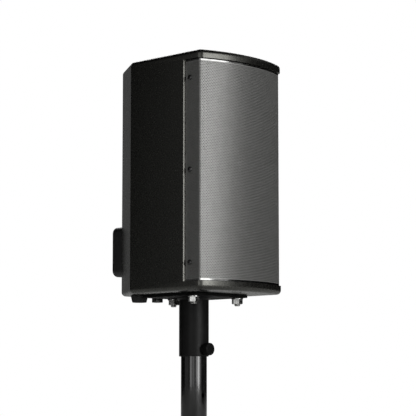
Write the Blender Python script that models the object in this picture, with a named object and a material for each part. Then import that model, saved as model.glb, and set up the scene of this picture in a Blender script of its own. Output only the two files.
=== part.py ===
"""Compact two-way loudspeaker with a curved grille, on a 35 mm pole.

Frame: +Z is up and the grille faces -Y. The origin is the centre of the pole's lower end face,
and the pole's axis is the Z axis. Every size below is in millimetres.
"""

import math

import bmesh
import bpy
from mathutils import Matrix, Vector

MM = 0.001
GAP = 0.3  # clearance between pieces that touch

# Cabinet
BASE_Z = 200.0  # underside of the cabinet
HEIGHT = 315.5
HALF_WIDTH = 80.5
FRONT_Y = -88.0  # chord through the two front corners
FRONT_RADIUS = 190.0
CHAMFER_START_Y = 40.9
REAR_Y = 98.0
REAR_HALF_WIDTH = 43.0
CORNER_RADIUS = 4.0
FRONT_CORNER_RADIUS = 10.0
EDGE_RADIUS = 6.0
SMALLEST_CORNER = 0.5
WALL = 12.0
PANEL = 11.8  # top and bottom panels, whose front edges frame the grille
TOP_Z = BASE_Z + HEIGHT
FLOOR_Z = BASE_Z + PANEL
CEILING_Z = TOP_Z - PANEL
MID_Z = BASE_Z + HEIGHT / 2

# Grille
GRILLE_INSET = 3.0
GRILLE_SHEET = 1.0
GRILLE_BEND = 2.5
GRILLE_END_Y = FRONT_Y + 27.2
GRILLE_MARGIN_Z = 1.0
RECESS_HALF_WIDTH = HALF_WIDTH - GRILLE_INSET - GRILLE_SHEET - GAP
GRILLE_SCREW_Y = GRILLE_END_Y - 8.0
GRILLE_SCREW_SPREAD_Z = 121.6
FOAM_THICKNESS = 3.0
FOAM_HALF_WIDTH = 66.0

# Front baffle
BAFFLE_FRONT_Y = FRONT_Y + 14.0
BAFFLE_HALF_WIDTH = HALF_WIDTH - WALL - GAP
PILOT_RADIUS = 2.2
SHANK_RADIUS = 1.9
SCREW_HEAD_RADIUS = 3.6
SCREW_HEAD_HEIGHT = 2.4
FLANGE_FACE = 4.3  # front of the drivers' flanges, ahead of the baffle's front face
GRILLE_SCREW_LENGTH = 7.0
DRIVER_SCREW_LENGTH = 14.0
BEYOND = 5.0  # how far a cutter runs past the faces that it opens

# Low-frequency driver; its distances run forward from the baffle's front face
WOOFER_Z = BASE_Z + 82.0
WOOFER_FLANGE_RADIUS = 66.0
WOOFER_NECK_RADIUS = 56.2
WOOFER_SCREW_RADIUS = 61.0
WOOFER_HOLE_RADIUS = WOOFER_NECK_RADIUS + 0.6
CONE_RADIUS = 50.0
COIL_INNER_RADIUS = 12.9
COIL_OUTER_RADIUS = 13.9

# High-frequency driver and horn
HORN_Z = BASE_Z + 236.0
HORN_HALF_WIDTH = 60.0
HORN_HALF_HEIGHT = 52.0
HORN_SCREW_X = 54.8
HORN_SCREW_Z = 46.8
HORN_HOLE_HALF_WIDTH = 50.0
HORN_HOLE_HALF_HEIGHT = 42.0
THROAT_RADIUS = 12.7
DRIVER_RADIUS = 32.0

# Bass ports
PORT_X = 45.0
PORT_Z = BASE_Z + 163.0
PORT_FLANGE_RADIUS = 19.0
PORT_RADIUS = 16.0
PORT_LENGTH = 60.0

# Crossover
BOARD_HALF_WIDTH = 32.0
BOARD_Z = (BASE_Z + 140.0, BASE_Z + 250.0)
BOARD_THICKNESS = 1.6
INDUCTOR_RISE = 24.0  # heights above the board's lower edge
WOOFER_CAPACITOR_RISE = 58.0
TWEETER_CAPACITOR_RISE = 76.0

# Terminal housing on the back
HOUSING_Z = BASE_Z + 63.3
HOUSING_HALF_WIDTH = 38.0
HOUSING_HALF_HEIGHT = 34.6
HOUSING_DEPTH = 25.2
HOUSING_CORNER = 9.0
HOUSING_EDGE = 2.5
HOUSING_WALL = 3.0
GASKET = 1.4
OPENING_HALF_WIDTH = 30.0
OPENING_HALF_HEIGHT = 19.0
OPENING_CORNER = 4.0
HOUSING_SCREW_X = 31.5
HOUSING_SCREW_Z = 27.5
SOCKET_X = 16.0
SOCKET_BODY_RADIUS = 12.0
SOCKET_CAVITY_RADIUS = 10.4
SOCKET_POST_RADIUS = 4.0
SOCKET_DEPTH = 26.0
SOCKET_CAVITY_DEPTH = 16.0

# Pole adapter under the cabinet
PLATE_HALF = 51.0
PLATE_Y = -2.0
PLATE_THICKNESS = 4.0
PLATE_CORNER = 3.0
STUD_PLACES = {"left": (-42.0, -41.0), "right": (42.0, -41.0), "rear": (0.0, 39.0)}
STUD_RADIUS = 4.0
STUD_GRIP = 9.0  # thread inside the cabinet's floor
STUD_END_Z = BASE_Z - 15.1
NUT_ACROSS_FLATS = 13.0
NUT_HEIGHT = 6.5
WASHER_RADIUS = 8.0
WASHER_HEIGHT = 1.6
SLEEVE_RADIUS = 20.1
SLEEVE_BORE_RADIUS = 18.1
SLEEVE_BOTTOM_Z = BASE_Z - 83.0
CLAMP_Z = BASE_Z - 73.6
CLAMP_BORE_RADIUS = 4.3
CLAMP_SCREW_RADIUS = 4.0
CLAMP_INSERT_RADIUS = 6.5
KNOB_RADIUS = 8.4
KNOB_INNER = 21.6  # distances from the pole's axis
KNOB_FACE = 31.6

# Feet and rigging point
FOOT_PLACE = (41.0, 64.0)
FOOT_TOP_RADIUS = 12.0
FOOT_BOTTOM_RADIUS = 9.7
FOOT_HEIGHT = 9.4
RIGGING_Y = 71.0
RIGGING_HEAD_RADIUS = 7.5
RIGGING_HEAD_HEIGHT = 7.2

# Pole
POLE_RADIUS = 17.5
POLE_BORE_RADIUS = 15.5
PLUG_SPIGOT_RADIUS = POLE_BORE_RADIUS - GAP
END_PLUG_FLANGE = 5.0
PLUG_DEPTH = 20.0
POLE_TOP_Z = BASE_Z - PLATE_THICKNESS - 4.4
PIN_HOLE_Z = BASE_Z - 135.3
PIN_HOLE_RADIUS = 3.0

FORWARD = Vector((0, -1, 0))
BACKWARD = Vector((0, 1, 0))
UP = Vector((0, 0, 1))
DOWN = Vector((0, 0, -1))
RIGHT = Vector((1, 0, 0))
LEFT = Vector((-1, 0, 0))

# Colour, roughness and metallic value of each material
MATERIALS = {
    "cabinet_paint": ((0.022, 0.022, 0.020), 0.48, 0.0),
    "grille_paint": ((0.055, 0.056, 0.055), 0.38, 0.6),
    "foam": ((0.010, 0.010, 0.010), 0.95, 0.0),
    "black_screw": ((0.012, 0.012, 0.012), 0.35, 0.7),
    "baffle_paint": ((0.015, 0.015, 0.015), 0.75, 0.0),
    "cast_frame": ((0.030, 0.030, 0.030), 0.55, 0.5),
    "rubber": ((0.010, 0.010, 0.010), 0.80, 0.0),
    "paper_cone": ((0.020, 0.019, 0.018), 0.90, 0.0),
    "spider_cloth": ((0.350, 0.220, 0.080), 0.90, 0.0),
    "coil_copper": ((0.600, 0.260, 0.100), 0.35, 1.0),
    "ferrite": ((0.050, 0.050, 0.055), 0.60, 0.0),
    "zinc_steel": ((0.620, 0.620, 0.600), 0.30, 1.0),
    "horn_plastic": ((0.015, 0.015, 0.015), 0.50, 0.0),
    "titanium": ((0.480, 0.470, 0.450), 0.35, 1.0),
    "circuit_board": ((0.020, 0.120, 0.050), 0.50, 0.0),
    "capacitor_film": ((0.550, 0.100, 0.050), 0.35, 0.0),
    "black_plastic": ((0.012, 0.012, 0.012), 0.45, 0.0),
    "socket_plastic": ((0.020, 0.020, 0.022), 0.40, 0.0),
    "black_paint": ((0.016, 0.016, 0.015), 0.45, 0.2),
    "brass": ((0.600, 0.430, 0.160), 0.35, 1.0),
    "pole_gloss": ((0.010, 0.010, 0.010), 0.15, 0.3),
}


def clear_scene():
    for obj in list(bpy.data.objects):
        bpy.data.objects.remove(obj, do_unlink=True)


def make_materials():
    made = {}
    for name, (colour, roughness, metallic) in MATERIALS.items():
        material = bpy.data.materials.new(name)
        material.use_nodes = True
        shader = material.node_tree.nodes["Principled BSDF"]
        shader.inputs["Base Color"].default_value = (*colour, 1.0)
        shader.inputs["Roughness"].default_value = roughness
        shader.inputs["Metallic"].default_value = metallic
        made[name] = material
    return made


def finish_object(name, bm, material, place=(0, 0, 0), axis=UP):
    """Turns a bmesh whose own axis is +Z into an object at a place, pointing along an axis."""
    bmesh.ops.recalc_face_normals(bm, faces=bm.faces)
    mesh = bpy.data.meshes.new(name)
    bm.to_mesh(mesh)
    bm.free()
    mesh.shade_smooth()
    mesh.set_sharp_from_angle(angle=math.radians(32))
    obj = bpy.data.objects.new(name, mesh)
    obj.location = Vector(place) * MM
    obj.rotation_mode = "QUATERNION"
    obj.rotation_quaternion = UP.rotation_difference(axis)
    bpy.context.scene.collection.objects.link(obj)
    if material:
        mesh.materials.append(material)
    else:
        obj.hide_render = True
        obj.display_type = "WIRE"
    return obj


def modify(obj, operation, other):
    boolean = obj.modifiers.new(other.name, "BOOLEAN")
    boolean.operation = operation
    boolean.solver = "EXACT"
    boolean.object = other


def filleted(corners, steps=3):
    """Closed outline from (x, y, radius) corners, with each radius turned into an arc."""
    outline = []
    for index, (x, y, radius) in enumerate(corners):
        here = Vector((x, y))
        if radius <= 0:
            outline.append(here)
            continue
        before = (Vector(corners[index - 1][:2]) - here).normalized()
        after = (Vector(corners[(index + 1) % len(corners)][:2]) - here).normalized()
        half = before.angle(after) / 2
        centre = here + (before + after).normalized() * radius / math.sin(half)
        spoke = here + before * radius / math.tan(half) - centre
        sweep = math.copysign(math.pi - 2 * half, -before.cross(after))
        for step in range(steps + 1):
            outline.append(centre + Matrix.Rotation(sweep * step / steps, 2) @ spoke)
    return outline


def rectangle(half_x, half_y, radius, steps=3):
    corners = [(-half_x, -half_y), (half_x, -half_y), (half_x, half_y), (-half_x, half_y)]
    return filleted([(x, y, radius) for x, y in corners], steps)


def loft(rings, closed=False):
    """Skins a stack of (outline, height) rings, capped at both ends or joined into a tunnel."""
    bm = bmesh.new()
    loops = [[bm.verts.new((p[0] * MM, p[1] * MM, z * MM)) for p in ring] for ring, z in rings]
    pairs = list(zip(loops, loops[1:]))
    if closed:
        pairs.append((loops[-1], loops[0]))
    for lower, upper in pairs:
        for i in range(len(lower)):
            bm.faces.new((lower[i - 1], lower[i], upper[i], upper[i - 1]))
    if not closed:
        bm.faces.new(loops[0])
        bm.faces.new(loops[-1])
    return bm


def prism(name, outline, low, high, material=None, place=(0, 0, 0), axis=UP):
    return finish_object(name, loft([(outline, low), (outline, high)]), material, place, axis)


def turned(name, profile, material=None, place=(0, 0, 0), axis=UP, segments=16):
    """Solid of revolution from (radius, distance along the axis) points."""
    bm = bmesh.new()
    verts = [bm.verts.new((radius * MM, 0, along * MM)) for radius, along in profile]
    edges = [bm.edges.new(pair) for pair in zip(verts, verts[1:])]
    if profile[0][0] > 0:
        edges.append(bm.edges.new((verts[-1], verts[0])))
    bmesh.ops.spin(
        bm, geom=verts + edges, cent=(0, 0, 0), axis=UP, angle=2 * math.pi, steps=segments, use_merge=True
    )
    bmesh.ops.remove_doubles(bm, verts=bm.verts, dist=1e-7)
    return finish_object(name, bm, material, place, axis)


def rod(name, radius, low, high, material=None, place=(0, 0, 0), axis=UP, segments=12):
    profile = [(0, low), (radius, low), (radius, high), (0, high)]
    return turned(name, profile, material, place, axis, segments)


def rods_in_one(name, radius, low, high, places, axis, segments=12):
    """One cutter made of parallel rods that stand clear of each other."""
    bm = bmesh.new()
    turn = UP.rotation_difference(axis).to_matrix().to_4x4()
    for place in places:
        middle = Matrix.Translation((0, 0, (low + high) / 2 * MM))
        bmesh.ops.create_cone(
            bm, cap_ends=True, segments=segments, radius1=radius * MM, radius2=radius * MM,
            depth=(high - low) * MM, matrix=Matrix.Translation(Vector(place) * MM) @ turn @ middle,
        )
    return finish_object(name, bm, None)


def front_arc_y(x, inset):
    """Depth of the curved front at x, moved inward by inset."""
    centre_y = FRONT_Y + math.sqrt(FRONT_RADIUS**2 - HALF_WIDTH**2)
    return centre_y - math.sqrt((FRONT_RADIUS - inset) ** 2 - x**2)


def front_arc(half_width, inset, steps):
    """Points of the curved front from left to right."""
    reach = math.asin(half_width / (FRONT_RADIUS - inset))
    angles = [reach * (2 * step / steps - 1) for step in range(steps + 1)]
    xs = [(FRONT_RADIUS - inset) * math.sin(angle) for angle in angles]
    return [(x, front_arc_y(x, inset)) for x in xs]


def back_corners(inset):
    """Corners of the back of the plan, from the right side round to the left, moved inward."""
    chamfer = Vector((HALF_WIDTH - REAR_HALF_WIDTH, REAR_Y - CHAMFER_START_Y))
    normal = Vector((chamfer.y, chamfer.x)).normalized()
    level = normal.dot(Vector((HALF_WIDTH, CHAMFER_START_Y))) - inset
    side_x = HALF_WIDTH - inset
    rear_y = REAR_Y - inset
    right = [
        (side_x, (level - normal.x * side_x) / normal.y),
        ((level - normal.y * rear_y) / normal.x, rear_y),
    ]
    return right + [(-x, y) for x, y in reversed(right)]


def cabinet_outline(inset, arc_steps=16):
    radius = max(CORNER_RADIUS - inset, SMALLEST_CORNER)
    bend = FRONT_CORNER_RADIUS - inset
    arc = front_arc(HALF_WIDTH - inset, inset, arc_steps)
    corners = [(*arc[0], bend)] + [(x, y, 0) for x, y in arc[1:-1]] + [(*arc[-1], bend)]
    corners += [(x, y, radius) for x, y in back_corners(inset)]
    return filleted(corners)


def rounded_edge(steps=3):
    """(inset, height) pairs that turn a square edge into a round one, from the face outward."""
    turns = [math.pi / 2 * step / steps for step in range(steps + 1)]
    return [(EDGE_RADIUS * (1 - math.sin(t)), EDGE_RADIUS * (1 - math.cos(t))) for t in turns]


def cabinet_space():
    """Plan of the room inside the cabinet, of its open front and of the grille's recess."""
    beyond = HALF_WIDTH + 20
    inner = HALF_WIDTH - WALL
    right = [
        (beyond, FRONT_Y - 40),
        (beyond, GRILLE_END_Y),
        (RECESS_HALF_WIDTH, GRILLE_END_Y),
        (RECESS_HALF_WIDTH, BAFFLE_FRONT_Y),
        (inner, BAFFLE_FRONT_Y),
    ]
    left = [(-x, y) for x, y in reversed(right)]
    return [Vector(point) for point in right + back_corners(WALL) + left]


def grille_screw_heights():
    return [MID_Z + step * GRILLE_SCREW_SPREAD_Z for step in (-1, 0, 1)]


def build_cabinet(materials):
    edge = rounded_edge()
    rings = [(cabinet_outline(inset), BASE_Z + rise) for inset, rise in edge]
    rings += [(cabinet_outline(inset), TOP_Z - rise) for inset, rise in reversed(edge)]
    shell = finish_object("cabinet_shell", loft(rings), materials["cabinet_paint"])
    modify(shell, "DIFFERENCE", prism("space_cutter", cabinet_space(), FLOOR_Z, CEILING_Z))
    screw_places = [(0, GRILLE_SCREW_Y, z) for z in grille_screw_heights()]
    pilot_start = HALF_WIDTH - WALL + 1.5
    outside = HALF_WIDTH + BEYOND
    for side, axis in (("left", LEFT), ("right", RIGHT)):
        modify(shell, "DIFFERENCE", rods_in_one(
            f"pilot_cutter_{side}", PILOT_RADIUS, pilot_start, outside, screw_places, axis))
    opening = rectangle(OPENING_HALF_WIDTH, OPENING_HALF_HEIGHT, OPENING_CORNER)
    modify(shell, "DIFFERENCE", prism(
        "terminal_opening_cutter", opening, -WALL - BEYOND, BEYOND, None, (0, REAR_Y, HOUSING_Z), BACKWARD))
    corners = [(x, REAR_Y, HOUSING_Z + z) for x, z in housing_screw_places()]
    modify(shell, "DIFFERENCE", rods_in_one(
        "terminal_pilot_cutter", PILOT_RADIUS, 2.5 - WALL, BEYOND, corners, BACKWARD))
    studs = [(x, y, BASE_Z) for x, y in STUD_PLACES.values()] + [(0, RIGGING_Y, BASE_Z)]
    modify(shell, "DIFFERENCE", rods_in_one(
        "stud_hole_cutter", STUD_RADIUS + GAP, -BEYOND, STUD_GRIP + 1, studs, UP))
    return [shell]


def build_baffle(materials):
    """Board that carries the drivers, the horn and the ports, let in between the cabinet's walls."""
    place = (0, BAFFLE_FRONT_Y, 0)
    low, high = FLOOR_Z + GAP, CEILING_Z - GAP
    half = BAFFLE_HALF_WIDTH
    outline = [(-half, low), (half, low), (half, high), (-half, high)]
    board = prism("front_baffle", outline, -WALL, 0, materials["baffle_paint"], place, FORWARD)
    back, front = -WALL - BEYOND, BEYOND
    horn_hole = rectangle(HORN_HOLE_HALF_WIDTH, HORN_HOLE_HALF_HEIGHT, 8)
    ports = [(x, BAFFLE_FRONT_Y, PORT_Z) for x in (-PORT_X, PORT_X)]
    screws = [(x, BAFFLE_FRONT_Y, z) for x, z in woofer_screw_places() + horn_screw_places()]
    woofer_place, horn_place = (0, BAFFLE_FRONT_Y, WOOFER_Z), (0, BAFFLE_FRONT_Y, HORN_Z)
    holes = [
        rod("woofer_hole_cutter", WOOFER_HOLE_RADIUS, back, front, None, woofer_place, FORWARD, 28),
        prism("horn_hole_cutter", horn_hole, back, front, None, horn_place, FORWARD),
        rods_in_one("port_hole_cutter", PORT_RADIUS + 0.5, back, front, ports, FORWARD, 24),
        rods_in_one("driver_pilot_cutter", PILOT_RADIUS, back, front, screws, FORWARD, 10),
    ]
    for cutter in holes:
        modify(board, "DIFFERENCE", cutter)
    return [board]


def build_grille(materials):
    """Sheet bent round the curved front and back along both sides, and the foam behind it."""
    def skin(inset, bend):
        half = HALF_WIDTH - inset
        end_y = GRILLE_END_Y - GAP
        arc = front_arc(half, inset, 16)
        corners = [(-half, end_y, 0), (*arc[0], bend)] + [(x, y, 0) for x, y in arc[1:-1]]
        return filleted(corners + [(*arc[-1], bend), (half, end_y, 0)])
    inner = skin(GRILLE_INSET + GRILLE_SHEET, GRILLE_BEND - GRILLE_SHEET)
    outline = skin(GRILLE_INSET, GRILLE_BEND) + list(reversed(inner))
    low = FLOOR_Z + GRILLE_MARGIN_Z
    high = CEILING_Z - GRILLE_MARGIN_Z
    grille = prism("grille", outline, low, high, materials["grille_paint"])
    places = [(0, GRILLE_SCREW_Y, z) for z in grille_screw_heights()]
    modify(grille, "DIFFERENCE", rods_in_one(
        "grille_hole_cutter", SHANK_RADIUS + 0.4, -HALF_WIDTH - BEYOND, HALF_WIDTH + BEYOND, places, RIGHT))
    foam_front = GRILLE_INSET + GRILLE_SHEET + 0.4
    foam_outline = front_arc(FOAM_HALF_WIDTH, foam_front, 16)
    foam_outline += reversed(front_arc(FOAM_HALF_WIDTH, foam_front + FOAM_THICKNESS, 16))
    foam = prism("grille_foam", foam_outline, low + 1, high - 1, materials["foam"])
    return [grille, foam]


def button_screw(name, material, place, axis, length, head_radius=SCREW_HEAD_RADIUS):
    """Screw whose head sits on a face at the place; its shank runs back into the piece."""
    top = SCREW_HEAD_HEIGHT
    profile = [
        (0, top), (head_radius * 0.75, top - 0.4), (head_radius, GAP),
        (SHANK_RADIUS, GAP), (SHANK_RADIUS, -length), (0, -length),
    ]
    return turned(name, profile, material, place, axis, 10)


def build_grille_screws(materials):
    made = []
    for side, axis in (("left", LEFT), ("right", RIGHT)):
        face_x = (HALF_WIDTH - GRILLE_INSET) * axis.x
        for level, z in zip(("low", "middle", "high"), grille_screw_heights()):
            made.append(button_screw(f"grille_screw_{side}_{level}", materials["black_screw"],
                                     (face_x, GRILLE_SCREW_Y, z), axis, GRILLE_SCREW_LENGTH))
    return made


def woofer_screw_places():
    spread = WOOFER_SCREW_RADIUS * math.sqrt(0.5)
    return [(x * spread, WOOFER_Z + z * spread) for x in (-1, 1) for z in (-1, 1)]


def horn_screw_places():
    return [(x * HORN_SCREW_X, HORN_Z + z * HORN_SCREW_Z) for x in (-1, 1) for z in (-1, 1)]


def housing_screw_places():
    return [(x * HOUSING_SCREW_X, z * HOUSING_SCREW_Z) for x in (-1, 1) for z in (-1, 1)]


def corner_names():
    return [f"{side}_{level}" for side in ("left", "right") for level in ("low", "high")]


def build_driver_screws(materials):
    made = []
    for kind, places in (("woofer", woofer_screw_places()), ("horn", horn_screw_places())):
        for corner, (x, z) in zip(corner_names(), places):
            made.append(button_screw(f"{kind}_screw_{corner}", materials["black_screw"],
                                     (x, BAFFLE_FRONT_Y - FLANGE_FACE, z), FORWARD, DRIVER_SCREW_LENGTH))
    return made


def build_woofer_frame(materials):
    """Cast basket: flange, open cone of spokes, spider ledge and the ring for the magnet."""
    place = (0, BAFFLE_FRONT_Y, WOOFER_Z)
    flange = WOOFER_FLANGE_RADIUS
    neck = WOOFER_NECK_RADIUS
    profile = [
        (flange, GAP), (flange, FLANGE_FACE), (57.5, FLANGE_FACE), (57.5, 2.3),
        (51.5, 2.3), (51.5, -3), (37.5, -36),
        (34, -36), (34, -44), (22, -44), (22, -46), (41, -46), (41, -36.5), (neck, -4), (neck, GAP),
    ]
    basket = turned("woofer_basket", profile, materials["cast_frame"], place, FORWARD, 20)
    windows = bmesh.new()
    for index in range(6):
        turn = Matrix.Rotation(math.radians(60 * index + 30), 4, "Z")
        shift = Matrix.Translation(Vector((48, 0, -19)) * MM)
        size = Matrix.Diagonal((24 * MM, 26 * MM, 22 * MM, 1))
        bmesh.ops.create_cube(windows, size=1, matrix=turn @ shift @ size)
    cutter = finish_object("basket_window_cutter", windows, None, place, FORWARD)
    modify(basket, "DIFFERENCE", cutter)
    holes = [(x, BAFFLE_FRONT_Y, z) for x, z in woofer_screw_places()]
    modify(basket, "DIFFERENCE", rods_in_one(
        "flange_hole_cutter", PILOT_RADIUS, -BEYOND, FLANGE_FACE + BEYOND, holes, FORWARD, 10))
    return [basket]


def build_woofer_motor(materials):
    place = (0, BAFFLE_FRONT_Y, WOOFER_Z)
    plate = [(14.6, -46.3), (36, -46.3), (36, -51.3), (14.6, -51.3)]
    magnet = [(20, -51.6), (40, -51.6), (40, -65.6), (20, -65.6)]
    yoke = [(0, -47), (12.2, -47), (12.2, -65.9), (38, -65.9), (38, -70.9), (0, -70.9)]
    return [
        turned("woofer_top_plate", plate, materials["zinc_steel"], place, FORWARD),
        turned("woofer_magnet", magnet, materials["ferrite"], place, FORWARD),
        turned("woofer_yoke", yoke, materials["zinc_steel"], place, FORWARD),
    ]


def build_woofer_cone(materials):
    """Moving assembly: cone with its dust cap, and the voice coil on its former."""
    place = (0, BAFFLE_FRONT_Y, WOOFER_Z)
    cone = [
        (0, -12), (9, -13.8), (16, -19.5), (18, -24.5), (34, -12), (CONE_RADIUS, 1.5), (CONE_RADIUS, 0.5),
        (34, -13.2), (17, -26.6), (15.2, -31.5), (14.2, -31.5), (14.2, -27), (9.5, -15.4), (0, -13.2),
    ]
    coil_top, coil_end = -30, -54
    coil = [
        (COIL_INNER_RADIUS, coil_top), (COIL_OUTER_RADIUS, coil_top),
        (COIL_OUTER_RADIUS, coil_end), (COIL_INNER_RADIUS, coil_end),
    ]
    return [
        turned("woofer_cone", cone, materials["paper_cone"], place, FORWARD),
        turned("woofer_voice_coil", coil, materials["coil_copper"], place, FORWARD),
    ]


def build_woofer_suspension(materials):
    place = (0, BAFFLE_FRONT_Y, WOOFER_Z)
    roll = [
        (56.8, 2.6), (56.8, 3.4), (55, 3.4), (54.2, 5), (53, 5.6), (51.6, 5), (50.4, 2.6), (50.4, 1.6),
        (52, 4.1), (53, 4.7), (54, 4.1), (54.8, 2.6),
    ]
    surround = turned("woofer_surround", roll, materials["rubber"], place, FORWARD, 20)
    radii = [14.4 + 22.6 * step / 8 for step in range(9)]
    waves = [0.8 * math.sin(math.pi * step / 2) for step in range(9)]
    upper = [(radius, -34 + wave) for radius, wave in zip(radii, waves)]
    lower = [(radius, along - 0.7) for radius, along in reversed(upper)]
    return [surround, turned("woofer_spider", upper + lower, materials["spider_cloth"], place, FORWARD, 16)]


def build_horn(materials):
    """Flange, flare and throat of the horn in one moulding, rectangular in front and round behind."""
    def ring(half_x, half_y, radius):
        return rectangle(half_x, half_y, radius, 4)
    throat = 0.98 * THROAT_RADIUS
    rings = [
        (ring(HORN_HALF_WIDTH, HORN_HALF_HEIGHT, 5), GAP),
        (ring(49, 41, 8), GAP),
        (ring(34, 29, 14), -20),
        (ring(19, 18.5, 16), -42),
        (ring(16, 16, 15.6), -50),
        (ring(28, 28, 27.4), -50),
        (ring(28, 28, 27.4), -54),
        (ring(THROAT_RADIUS, THROAT_RADIUS, throat), -54),
        (ring(16, 15.5, 13), -42),
        (ring(31, 26, 11), -20),
        (ring(46, 38, 7), FLANGE_FACE),
        (ring(HORN_HALF_WIDTH, HORN_HALF_HEIGHT, 5), FLANGE_FACE),
    ]
    horn = finish_object("hf_horn", loft(rings, closed=True), materials["horn_plastic"],
                         (0, BAFFLE_FRONT_Y, HORN_Z), FORWARD)
    holes = [(x, BAFFLE_FRONT_Y, z) for x, z in horn_screw_places()]
    modify(horn, "DIFFERENCE", rods_in_one(
        "horn_flange_hole_cutter", PILOT_RADIUS, -BEYOND, FLANGE_FACE + BEYOND, holes, FORWARD, 10))
    return [horn]


def build_hf_driver(materials):
    place = (0, BAFFLE_FRONT_Y, HORN_Z)
    outer = DRIVER_RADIUS
    body = [(THROAT_RADIUS, -54.3), (outer, -54.3), (outer, -76.3), (21.5, -76.3), (21.5, -75), (16.5, -75)]
    dome = [
        (0, -69), (7, -70), (12.5, -73), (14.6, -75.5), (20.8, -75.5), (20.8, -75.9), (14.2, -75.9),
        (12.2, -73.6), (7, -70.6), (0, -69.5),
    ]
    cover = [
        (0, -93), (28, -93), (outer, -89), (outer, -76.6), (21.5, -76.6), (21.5, -86), (17, -89), (0, -89),
    ]
    return [
        turned("hf_motor_housing", body, materials["cast_frame"], place, FORWARD),
        turned("hf_diaphragm", dome, materials["titanium"], place, FORWARD, 16),
        turned("hf_rear_cover", cover, materials["black_plastic"], place, FORWARD),
    ]


def build_ports(materials):
    flange = PORT_FLANGE_RADIUS
    profile = [
        (16.8, 2.3), (flange, 1.3), (flange, GAP), (PORT_RADIUS, GAP), (PORT_RADIUS, -PORT_LENGTH),
        (PORT_RADIUS - 1.8, -PORT_LENGTH), (PORT_RADIUS - 1.8, -3), (PORT_RADIUS - 1, 1),
    ]
    made = []
    for side, x in (("left", -PORT_X), ("right", PORT_X)):
        place = (x, BAFFLE_FRONT_Y, PORT_Z)
        made.append(turned(f"port_tube_{side}", profile, materials["black_plastic"], place, FORWARD))
    return made


def build_crossover(materials):
    """Board on the back wall with the coil and capacitors that split the signal."""
    board_y = REAR_Y - WALL - GAP
    low, high = BOARD_Z
    half_width = BOARD_HALF_WIDTH
    outline = [(-half_width, low), (half_width, low), (half_width, high), (-half_width, high)]
    board = prism("crossover_board", outline, 0, BOARD_THICKNESS, materials["circuit_board"],
                  (0, board_y, 0), FORWARD)
    face_y = board_y - BOARD_THICKNESS - GAP
    made = [board]
    coil = [(8, 0), (19, 0), (19, 16), (8, 16)]
    coil_place = (-9, face_y, low + INDUCTOR_RISE)
    made.append(turned("woofer_inductor", coil, materials["coil_copper"], coil_place, FORWARD, 20))
    capacitors = (
        ("woofer_capacitor", 8, 18, WOOFER_CAPACITOR_RISE),
        ("tweeter_capacitor", 6, 14, TWEETER_CAPACITOR_RISE),
    )
    for name, radius, half, rise in capacitors:
        rounded = [
            (0, -half), (radius - 1, -half), (radius, 1 - half),
            (radius, half - 1), (radius - 1, half), (0, half),
        ]
        place = (0, face_y - radius, low + rise)
        made.append(turned(name, rounded, materials["capacitor_film"], place, RIGHT))
    return made


def build_terminals(materials):
    """Housing on the back with two four-pole sockets, its gasket and its screws."""
    place = (0, REAR_Y, HOUSING_Z)
    start = GASKET + 2 * GAP
    half_x, half_z = HOUSING_HALF_WIDTH, HOUSING_HALF_HEIGHT
    rings = [(rectangle(half_x, half_z, HOUSING_CORNER), start)]
    for step in range(4):
        turn = math.pi / 2 * step / 3
        inset = HOUSING_EDGE * (1 - math.cos(turn))
        along = HOUSING_DEPTH - HOUSING_EDGE * (1 - math.sin(turn))
        rings.append((rectangle(half_x - inset, half_z - inset, HOUSING_CORNER - inset), along))
    housing = finish_object("terminal_housing", loft(rings), materials["black_plastic"], place, BACKWARD)
    opening = rectangle(OPENING_HALF_WIDTH, OPENING_HALF_HEIGHT, OPENING_CORNER)
    wall_start = HOUSING_DEPTH - HOUSING_WALL
    outside = HOUSING_DEPTH + BEYOND
    modify(housing, "DIFFERENCE", prism(
        "housing_room_cutter", opening, -BEYOND, wall_start, None, place, BACKWARD))
    sockets = [(x, REAR_Y, HOUSING_Z) for x in (-SOCKET_X, SOCKET_X)]
    modify(housing, "DIFFERENCE", rods_in_one(
        "socket_hole_cutter", SOCKET_BODY_RADIUS + GAP, wall_start - 3, outside, sockets, BACKWARD, 24))
    corners = [(x, REAR_Y, HOUSING_Z + z) for x, z in housing_screw_places()]
    modify(housing, "DIFFERENCE", rods_in_one(
        "housing_hole_cutter", PILOT_RADIUS, -BEYOND, outside, corners, BACKWARD))
    gasket_outline = rectangle(half_x - 1, half_z - 1, HOUSING_CORNER - 1)
    gasket = prism("terminal_gasket", gasket_outline, GAP, GAP + GASKET, materials["rubber"], place, BACKWARD)
    modify(gasket, "DIFFERENCE", prism(
        "gasket_room_cutter", opening, -BEYOND, GASKET + BEYOND, None, place, BACKWARD))
    modify(gasket, "DIFFERENCE", rods_in_one(
        "gasket_hole_cutter", PILOT_RADIUS, -BEYOND, GASKET + BEYOND, corners, BACKWARD))
    made = [housing, gasket]
    for corner, (x, z) in zip(corner_names(), housing_screw_places()):
        made.append(button_screw(f"terminal_screw_{corner}", materials["black_screw"],
                                 (x, REAR_Y + HOUSING_DEPTH, HOUSING_Z + z), BACKWARD, HOUSING_DEPTH + 8))
    return made


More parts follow.
